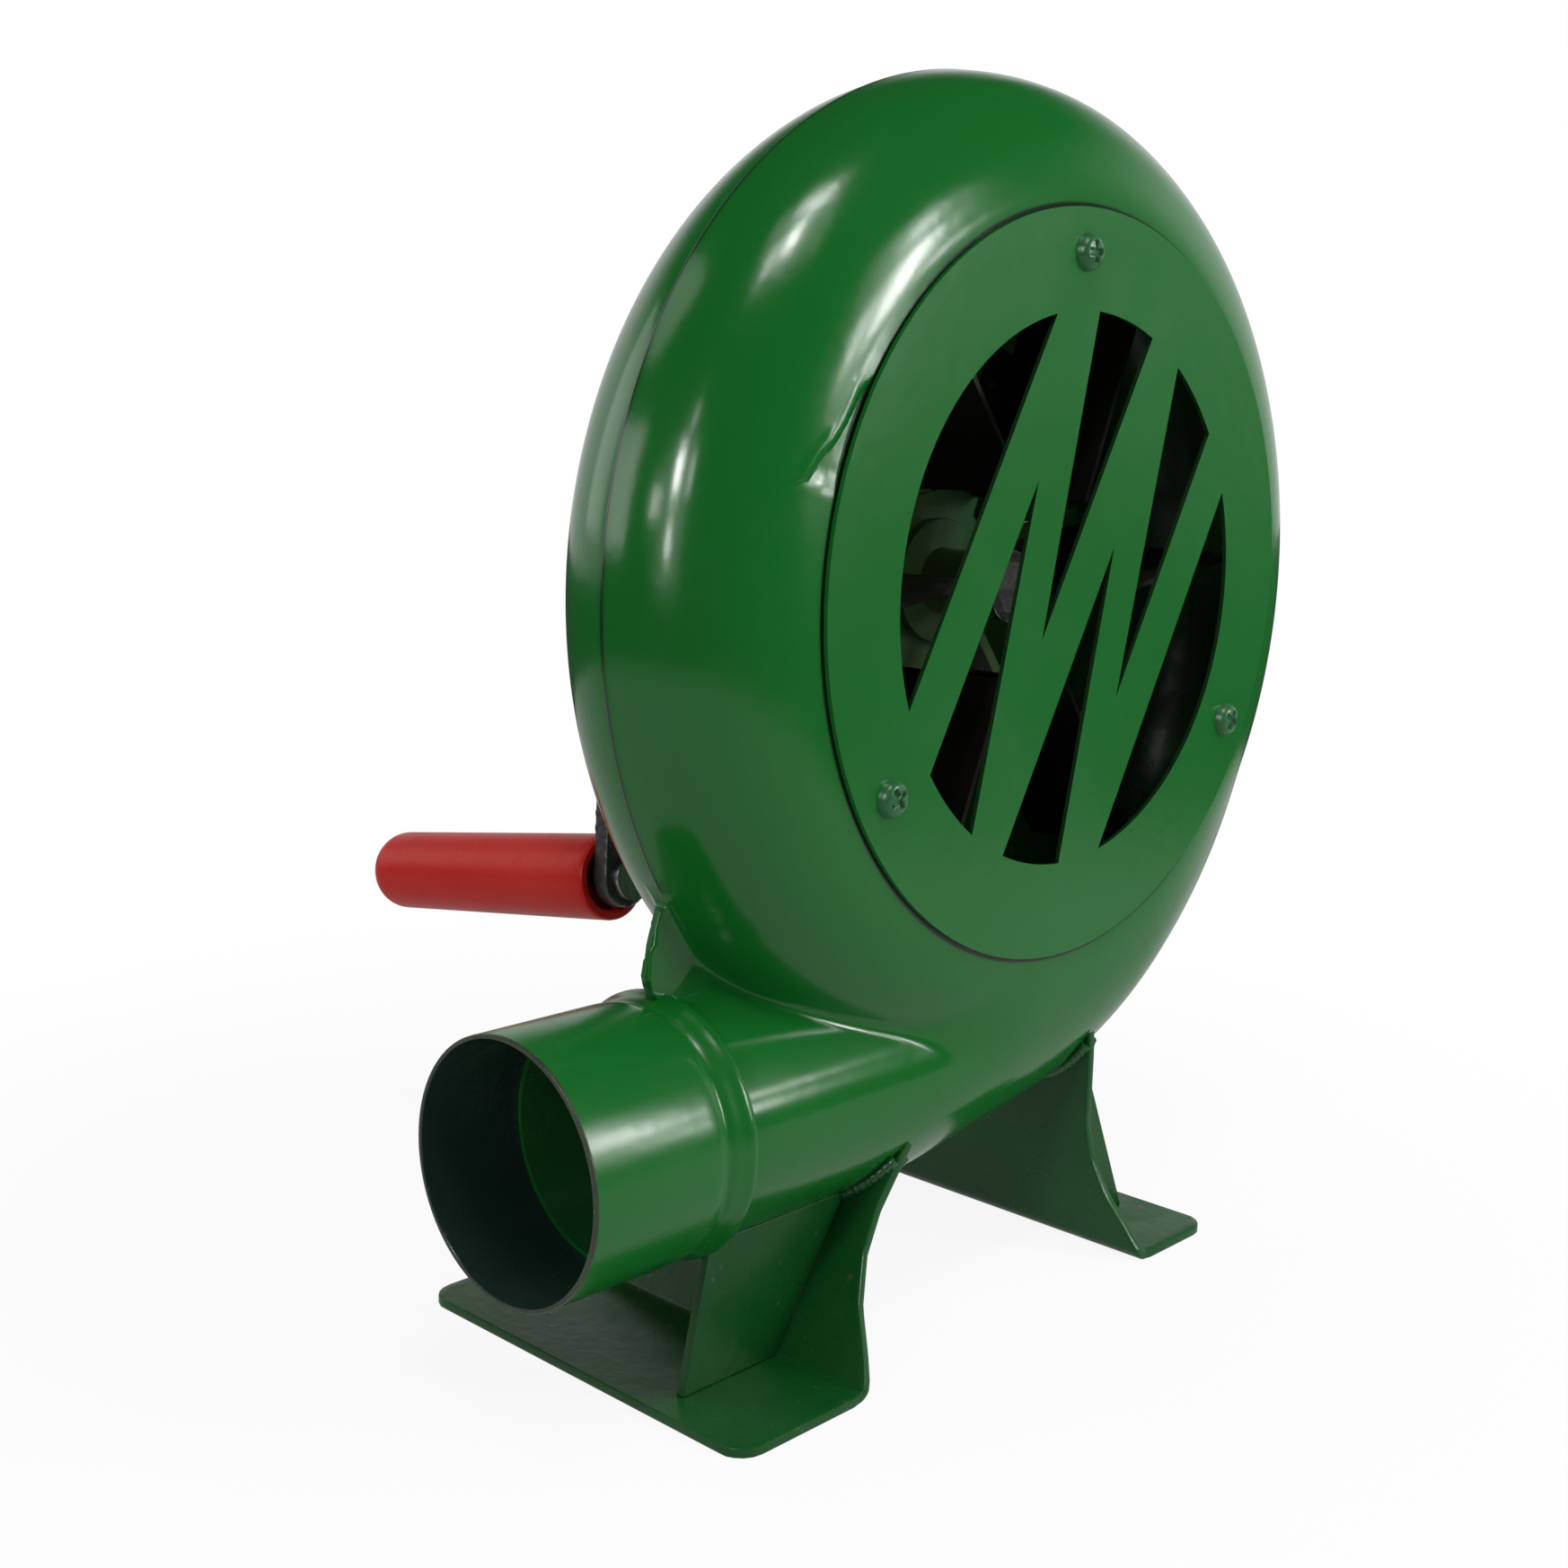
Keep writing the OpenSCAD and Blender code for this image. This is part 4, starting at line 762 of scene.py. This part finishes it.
def pan_head():
    """A domed head on Y = 0 with a cross in its top, which faces -Y, a skirt of paint and a shank."""
    rings, steps = 26, 64
    verts = [(0, -head_high + cross_deep, 0)]
    for t in (i / rings for i in range(1, rings + 1)):
        top = head_high * (1 - 0.28 * t ** 2 - 0.72 * t ** 9)
        for a in turns(steps):
            x, z = head_r * t * math.cos(a), head_r * t * math.sin(a)
            short, long = sorted((abs(x), abs(z)))
            pressed = max(0.0, 1 - max(short - cross_wide / 2, 0) / 0.35)
            pressed *= max(0.0, 1 - max(long - head_r * 0.52, 0) / 0.5)
            verts.append((x, -top + cross_deep * pressed, z))
    for r, y in ((head_r + skirt_wide, paint_lift), (shank_r, paint_lift), (shank_r, shank_len)):
        verts += [(r * math.cos(a), y, r * math.sin(a)) for a in turns(steps)]
    faces = [(0, 1 + j, 1 + (j + 1) % steps) for j in range(steps)]
    for i in range(rings + 2):
        for j in range(steps):
            a, b = 1 + i * steps + j, 1 + i * steps + (j + 1) % steps
            faces.append((a, a + steps, b + steps, b))
    faces.append([len(verts) - steps + j for j in range(steps)])
    return np.array(verts) * MM, faces


screw_green = coated("screw_enamel", (0.014, 0.105, 0.030), (0.030, 0.120, 0.045), (0.16, 0.15, 0.13),
                     patch=60, peel=500, wear=0.8, chips=0.15, smooth=0.26, dull=0.4, bump=0.1)
screws = mesh_object("plate_screw_set", *pan_head(), [])
grow(screws, ring_tree(), {
    "Count": 3, "Radius": screw_ring_r * MM, "First Turn": math.radians(first_screw_turn),
    "Middle": tuple(row((0, -front_rim - sheet_t, axis_z))), "Finish": screw_green}, 50)
fit_out(screws, "plate_screws")

# The outlet tube: a length of thin tube, pushed over the neck. Its inner end is belled and rolled
# outwards into a soft bead, with a small groove in front of it. Inside, the bare wall is stained
# grey-green, and its colour is kept dark as painted shade.
cut_from, inside_from = 21, 25      # where the profile comes to its cut end, and to its inside
tube_profile = [  # radius, distance from the fan's axis
    (30.55, 111.3), (31.3, 111.02), (32.0, 111.05), (32.5, 111.3), (32.85, 111.8), (33.02, 112.5),
    (32.98, 113.3), (32.7, 114.1), (32.35, 114.9), (32.1, 115.8), (31.9, 116.8), (31.7, 117.6),
    (31.4, 118.3), (31.12, 118.9), (31.02, 119.5), (31.1, 120.1), (31.35, 120.8), (31.58, 121.6),
    (31.7, 122.8), (31.75, 124.5), (31.75, 140.0), (31.75, 159.0), (31.72, 159.6), (31.6, 159.78),
    (31.2, 159.8), (30.7, 159.78), (30.58, 159.6), (30.55, 159.0), (30.55, 140.0), (30.55, 124.0)]
verts, faces = lathe(tube_profile, 144)
at = np.array([(-y, x + neck_off, z + neck_z) for x, y, z in verts])
count = len(tube_profile)
where = [1 if k % count >= inside_from else 2 if k % count >= cut_from else 0
         for k in range(len(faces))]
tube_green = coated("tube_enamel", *enamel, patch=12, peel=190, wear=0.6, smooth=0.2, dull=0.30,
                    bump=0.06)
tube_inside_stain_and_shade = coated("tube_inside_stain_and_shade", (0.012, 0.030, 0.024), (0.026, 0.045, 0.038), (0.08, 0.08, 0.07),
                     patch=26, wear=0.8, chips=0.3, smooth=0.2, dull=0.45, bump=0.06)
cut_edge = coated("cut_edge", (0.016, 0.022, 0.014), (0.03, 0.05, 0.02), (0.16, 0.10, 0.06), patch=60,
                  peel=700, wear=0.9, chips=0.8, smooth=0.35, dull=0.6, bump=0.2)
tube = mesh_object("outlet_tube_body", row(at), faces, [tube_green, tube_inside_stain_and_shade, cut_edge], where)
face_outwards(tube)
plain(tube, 40)
fit_out(tube, "outlet_tube")

# The feet: two strips of 2.5 mm sheet, bent to an outward flange and a leaning web. The webs are
# nibbled to a waist on both edges, and their tops follow the casing, to which they are arc welded.
# A small brace plate stands on each flange.
foot_t = 2.5
foot_near, foot_far = -43.7, 74.3
bend_r, corner_r = 3.4, 7.0
waist_near = np.array([(0, 0.4), (3.5, 0.5), (9.0, 4.6), (17.5, 11.7), (27.5, 16.6), (37, 18.1),
                       (46, 17.6), (60, 16.8)])     # height, cut away
waist_far = np.array([(0, 0.4), (6, 10), (14, 27), (26, 41), (40, 47.5), (52, 48.4), (70, 48.4)])
weld_sunk = -0.4
top_spread = 22.0
# The feet and braces get a much darker green than the casing: partly dirt, partly painted shade for the
# shade below the casing.
foot_green_dirt_and_shade = coated("foot_enamel_dirt_and_shade", (0.0036, 0.058, 0.0095), (0.0080, 0.078, 0.016), (0.07, 0.085, 0.05),
                    patch=24, wear=0.9, chips=0.8, smooth=0.26, dull=0.5, bump=0.09, level=0.3)


def web_ends(z):
    """Where the web's near and far edges are at a height."""
    return foot_near + np.interp(z, *waist_near.T), foot_far - np.interp(z, *waist_far.T)


def bent_foot(name, bend, flange, lean, way):
    """way is -1 for a flange towards the outlet and +1 for one away from it."""
    tilt = math.radians(lean)
    half = foot_t / 2
    sweep = math.pi / 2 - tilt
    knee = bend_r * math.tan(sweep / 2)
    foot_x = bend + (foot_t * math.tan(tilt) - foot_t / math.cos(tilt)) / 2
    reach = flange - (bend - foot_x)
    up = np.array((-math.sin(tilt), math.cos(tilt)))
    normal = np.array((math.cos(tilt), math.sin(tilt)))
    columns, rows = 49, 26
    across = [i / (columns - 1) for i in range(columns)]
    grid, normals = [], []

    def add_line(out, z, near, far, sheet_normal):
        for u in across:
            grid.append((way * out, near + (far - near) * u, z))
            normals.append((way * sheet_normal[0], 0, sheet_normal[1]))

    for d in (0.0, 0.35, 1.2, 2.6, 4.5, 7.0, 12.0, 20.0, reach - knee - 2):
        inset = corner_r - math.sqrt(corner_r ** 2 - max(corner_r - d, 0) ** 2)
        add_line(foot_x + reach - d, half, foot_near + inset, foot_far - inset, (0.0, 1.0))
    for a in (-math.pi / 2 - sweep * i / 8 for i in range(9)):
        out, z = foot_x + knee + bend_r * math.cos(a), half + bend_r + bend_r * math.sin(a)
        add_line(out, z, *web_ends(z), (-math.cos(a), -math.sin(a)))
    web_out, web_z = out, z

    def spot(u, s):
        """A place on the web: u across it and s up from the bend."""
        out, z = web_out + up[0] * s, web_z + up[1] * s
        near, far = web_ends(z)
        return np.array((way * out, near + (far - near) * u, z))

    tops = []
    for u in across:
        tried = np.arange(10.0, 120.0)
        sunk = casing_gap(np.array([spot(u, s) for s in tried])) < weld_sunk
        stop = tried[np.argmax(sunk)] if sunk.any() else 60.0
        start = stop - 1.0
        for _ in range(14):
            between = (start + stop) / 2
            if casing_gap(np.array([spot(u, between)]))[0] < weld_sunk:
                stop = between
            else:
                start = between
        tops.append(stop)
    tops = np.minimum(tops, np.median(tops) + top_spread)
    for k in range(1, rows + 1):
        for u, top in zip(across, tops):
            grid.append(spot(u, top * k / rows))
            normals.append((way * normal[0], 0, normal[1]))
    grid, normals = np.array(grid), np.array(normals)
    total = len(grid)
    lines = total // columns
    faces = []
    for quad in grid_faces(lines, columns, False, False):
        faces += [quad, tuple(total + q for q in quad[::-1])]
    rim = list(range(columns)) + [r * columns + columns - 1 for r in range(1, lines)]
    rim += [(lines - 1) * columns + c for c in range(columns - 2, -1, -1)]
    rim += [r * columns for r in range(lines - 2, 0, -1)]
    faces += [(a, total + a, total + b, b) for a, b in zip(rim, rim[1:] + rim[:1])]
    verts = np.vstack((grid + normals * half, grid - normals * half))
    obj = mesh_object(name, row(verts), faces, [foot_green_dirt_and_shade])
    face_outwards(obj)
    ease_edges(obj, 0.4, 50)
    plain(obj, 40)
    top_line = np.array([spot(u, top) for u, top in zip(across, tops)])
    return obj, top_line, np.array((way * normal[0], 0, normal[1])), np.array((way * up[0], 0, up[1]))


front_foot, *front_top = bent_foot("foot_front", 85.2, 43.0, 34.0, -1)
rear_foot, *rear_top = bent_foot("foot_rear", 35.1, 36.0, 5.0, 1)
fit_out(front_foot, "front_foot")
fit_out(rear_foot, "rear_foot")
for node, name in (("front_gusset", "gusset_front"), ("rear_gusset", "gusset_rear")):
    fit_out(eased(node, name, 0.4, [foot_green_dirt_and_shade]), node)

# The weld beads: arc welds laid by hand along the tops of the webs, in overlapping ripples that are a
# little uneven in width, and painted over.
bead_radius, bead_seed, bead_lift = 1.7, 3.0, 0.4


def bead_tree():
    """Lays a rippled bead along the incoming edges."""
    g, given = new_tree("weld bead", ("Radius", "Float", 0.002), ("Ripple", "Float", 0.0019),
                        ("Step", "Float", 0.0005), ("Uneven", "Float", 0.35), ("Seed", "Float", 3.0))
    curve = add_node(g, "GeometryNodeMeshToCurve", {0: given["Geometry"]})
    fine = add_node(g, "GeometryNodeResampleCurve", {
        "Curve": curve.outputs[0], "Length": given["Step"]}, mode="LENGTH")
    along = add_node(g, "GeometryNodeSplineParameter").outputs["Length"]
    saw = reckon(g, "FRACT", reckon(g, "DIVIDE", along, given["Ripple"]))
    hump = add_node(g, "ShaderNodeMapRange", {"Value": saw, "To Min": 0.86, "To Max": 1.08})
    wander = add_node(g, "ShaderNodeTexNoise", {"Scale": 160.0, "W": given["Seed"]},
                      noise_dimensions="4D")
    uneven = reckon(g, "MULTIPLY_ADD", reckon(g, "SUBTRACT", wander.outputs["Fac"], 0.5),
                    given["Uneven"], 1.0)
    wide = reckon(g, "MULTIPLY", reckon(g, "MULTIPLY", hump.outputs[0], uneven), given["Radius"])
    ring = add_node(g, "GeometryNodeCurvePrimitiveCircle", {"Resolution": 10, "Radius": 1.0})
    thick = add_node(g, "GeometryNodeSetCurveRadius", {"Curve": fine.outputs[0], "Radius": wide})
    bead = add_node(g, "GeometryNodeCurveToMesh", {
        "Curve": thick.outputs[0], "Profile Curve": ring.outputs[0], "Scale": wide, "Fill Caps": True})
    end_tree(g, bead.outputs[0], given["Finish"])
    return g


bead_of = bead_tree()
weld_green = coated("weld_enamel", (0.010, 0.085, 0.020), (0.020, 0.100, 0.030), (0.05, 0.04, 0.03),
                    patch=40, peel=700, wear=0.6, chips=0.3, smooth=0.22, dull=0.4, bump=0.2)


def seat_line(top, out, up, way):
    """Where a web's face meets the casing, for the bead to lie on."""
    p = top + out * way * (foot_t / 2 + 0.3)
    for _ in range(30):
        p = p + up * np.clip(casing_gap(p) - bead_lift, -2, 2)[:, None] * 0.7
    return p


for name, top_lines in (("weld_front", front_top), ("weld_rear", rear_top)):
    verts, edges = [], []
    for way in (1, -1):
        path = seat_line(*top_lines, way)[1:-1]
        edges += [(len(verts) + i, len(verts) + i + 1) for i in range(len(path) - 1)]
        verts += [tuple(v) for v in row(path)]
    mesh = bpy.data.meshes.new(name)
    mesh.from_pydata(verts, edges, [])
    bead = bpy.data.objects.new(name, mesh)
    scene.collection.objects.link(bead)
    grow(bead, bead_of, {"Radius": bead_radius * MM, "Seed": bead_seed, "Finish": weld_green})
    fit_out(bead)

# The gear case and its cover: sand castings with blunt edges, small fillets and a slightly pebbled
# face below the paint.


def cast(node, name, voxel, rounds, mats):
    """A solid's shape as a casting: the edges melted a little."""
    obj = mesh_object(name, *solid_shape(node), mats)
    remesh = obj.modifiers.new("grain", "REMESH")
    remesh.mode, remesh.voxel_size = "VOXEL", voxel * MM
    soften = obj.modifiers.new("edges", "SMOOTH")
    soften.factor, soften.iterations = 0.5, rounds
    return plain(obj)


cast_green = coated("cast_enamel", (0.010, 0.098, 0.022), (0.016, 0.110, 0.030), (0.05, 0.05, 0.05),
                    patch=30, peel=420, wear=0.6, smooth=0.24, dull=0.4, bump=0.35)
for node, name in (("gear_case", "case_casting"), ("gear_cover", "cover_casting")):
    fit_out(cast(node, name, 0.9, 5, [cast_green]), node)

# The bolts and nuts, of bright zinc plated steel: five long ones clamp cover, case and the casing's
# back wall, and smaller nuts hold the plate's screws and the stud of the middle gear.
zinc_metal = coated("zinc_plate", (0.56, 0.56, 0.55), (0.42, 0.41, 0.38), (0.20, 0.13, 0.08), patch=90,
                    peel=900, wear=0.7, chips=0.15, smooth=0.24, dull=0.45, bump=0.05, metal=1.0)
for node, name, width in (("case_bolts", "cover_bolts", 0.35), ("case_nuts", "cover_nuts", 0.3),
                          ("plate_nuts", "screw_nuts", 0.3), ("idler_nut", "stud_nut", 0.3)):
    fit_out(eased(node, name, width, [zinc_metal]), node, slot="zinc")

# The fan: six flat paddles riveted to a star of sheet, on a turned hub that a nut holds on the fast
# shaft. The paddles are thinly blackened, rubbed and dusty, and their colour is darkened further as
# painted shade inside the casing; the star and the hub are sprayed green, and the nut is bright zinc,
# made lighter still as a painted glint.
fan_black_shaded = coated("fan_sheet", (0.007, 0.008, 0.006), (0.020, 0.015, 0.009), (0.06, 0.045, 0.03),
                   patch=24, wear=0.9, chips=0.4, smooth=0.35, dull=0.6, bump=0.1, level=0.25)
star_green = coated("star_green", (0.026, 0.105, 0.032), (0.085, 0.110, 0.028), (0.13, 0.08, 0.03),
                    patch=38, peel=400, wear=0.9, chips=0.5, smooth=0.3, dull=0.55, bump=0.1)
# A lighter copy of the zinc, whose light colour is a painted glint on the fan's nut.
zinc_with_painted_glint = coated("zinc_with_painted_glint", (0.80, 0.80, 0.78), (0.66, 0.65, 0.62), (0.30, 0.24, 0.18),
                     patch=90, peel=900, wear=0.6, chips=0.1, smooth=0.2, dull=0.4, bump=0.05, metal=0.4)
for node, name, width, finish, kind in (
        ("impeller_spider", "fan_star", 0.3, star_green, "fan_sheet"),
        ("paddles", "fan_paddles", 0.3, fan_black_shaded, "fan_sheet"),
        ("impeller_hub", "fan_hub", 0.4, star_green, "steel"),
        ("impeller_nut", "fan_nut", 0.45, zinc_with_painted_glint, "zinc"),
        ("impeller_washer", "fan_washer", 0.25, zinc_metal, "zinc")):
    fit_out(eased(node, name, width, [finish]), node, body="impeller", slot=kind)

# The step-up train: cut gears, ground shafts and bronze bushes, oiled and shut in the case. The
# model's own solids are exact here, and get their metals.
steel_metal = coated("turned_steel", (0.42, 0.42, 0.42), (0.28, 0.26, 0.24), (0.12, 0.07, 0.04),
                     patch=70, peel=1200, wear=0.7, chips=0.1, smooth=0.22, dull=0.4, bump=0.05,
                     metal=1.0)
bronze_metal = coated("bush_bronze", (0.50, 0.30, 0.12), (0.30, 0.17, 0.07), (0.10, 0.06, 0.04),
                      patch=80, peel=900, wear=0.7, smooth=0.25, dull=0.45, bump=0.05, metal=1.0)
iron_metal = coated("gear_iron", (0.16, 0.155, 0.15), (0.09, 0.085, 0.08), (0.09, 0.05, 0.03),
                    patch=60, peel=700, wear=0.8, chips=0.2, smooth=0.35, dull=0.55, bump=0.15,
                    metal=1.0)
for metal, made_of_it in (
        (bronze_metal, ("shaft_bushes", "inner_bush", "outer_bush")),
        (iron_metal, ("crank_gear",)),
        (steel_metal, ("idler_stud", "idler_clip", "idler_wheel", "idler_pinion", "impeller_shaft",
                       "impeller_pinion", "gear_pin", "crank_shaft", "paddle_rivets", "grip_pin",
                       "pin_clip")),
        (zinc_metal, ("thrust_washer",))):
    for node in made_of_it:
        nodes[node].data.materials.clear()
        nodes[node].data.materials.append(metal)

# The crank: a forged arm with a round hub, painted black, keyed to the flats of the slow shaft and
# held by a nut. Its far end carries the riveted pin of the grip.
black = coated("black_paint", (0.019, 0.018, 0.017), (0.036, 0.033, 0.030), (0.14, 0.12, 0.10),
               patch=40, peel=500, wear=0.8, chips=0.7, smooth=0.3, dull=0.5, bump=0.2)
arm = cast("crank_arm", "crank_forging", 0.7, 4, [black])
fit_out(arm, "crank_arm", body="crank", slot="black_paint")
end_nut = eased("crank_nut", "crank_end_nut", 0.6, [zinc_metal])
fit_out(end_nut, "crank_nut", body="crank", slot="zinc")

# The grip: a hollow one of red plastic, turning on its pin. It is slightly tapered, its end rounded,
# with an open recess at the arm, a satin skin and fine moulding marks.
grip_foot = np.array((-42.972, 89.620, 100.224))
grip_lead = np.array((-0.02566683, 0.98901586, -0.14556385))
dome_mid, dome_r, dome_from = 3.4, 9.0, 104.3
side_r, side_from, draft = 12.85, 12.0, 0.45
red = coated("red_plastic", (0.46, 0.012, 0.008), (0.49, 0.024, 0.014), (0.16, 0.010, 0.008), patch=45,
             peel=520, wear=0.5, chips=0.15, smooth=0.34, dull=0.44, bump=0.1, level=0.15)
grip_profile = [  # radius, distance from the arm's side of the pin
    (4.12, 13.3), (9.4, 13.3), (9.75, 12.9), (9.8, 12.2), (9.8, 7.6), (10.0, 6.85),
    (10.6, 6.35), (11.4, 6.3), (12.3, 6.45), (12.72, 6.9), (12.85, 7.8), (12.84, 12.0)]
grip_profile += [(side_r - draft * t / 8, side_from + (dome_from - side_from) * t / 8)
                 for t in range(1, 9)]
grip_profile += [(dome_mid + dome_r * math.cos(a), dome_from + dome_r * math.sin(a))
                 for a in np.radians((8, 16, 24, 32, 40, 48, 56, 64, 72, 80, 86, 90))]
grip_profile += [(1.6, 113.3), (0.0, 113.3), (0.0, 100.3), (6.9, 100.3), (7.0, 100.0), (7.0, 96.4),
                 (6.9, 96.1), (4.12, 96.1)]
verts, faces = lathe(grip_profile)
across = np.cross(grip_lead, (0, 0, 1.0))
across /= np.linalg.norm(across)
place = grip_foot + verts @ np.array((across, grip_lead, np.cross(across, grip_lead)))
handle = mesh_object("hand_grip_moulding", row(place), faces, [red])
face_outwards(handle, join=1e-7)
plain(handle, 35)
fit_out(handle, "grip", body="hand_grip", slot="red_plastic")
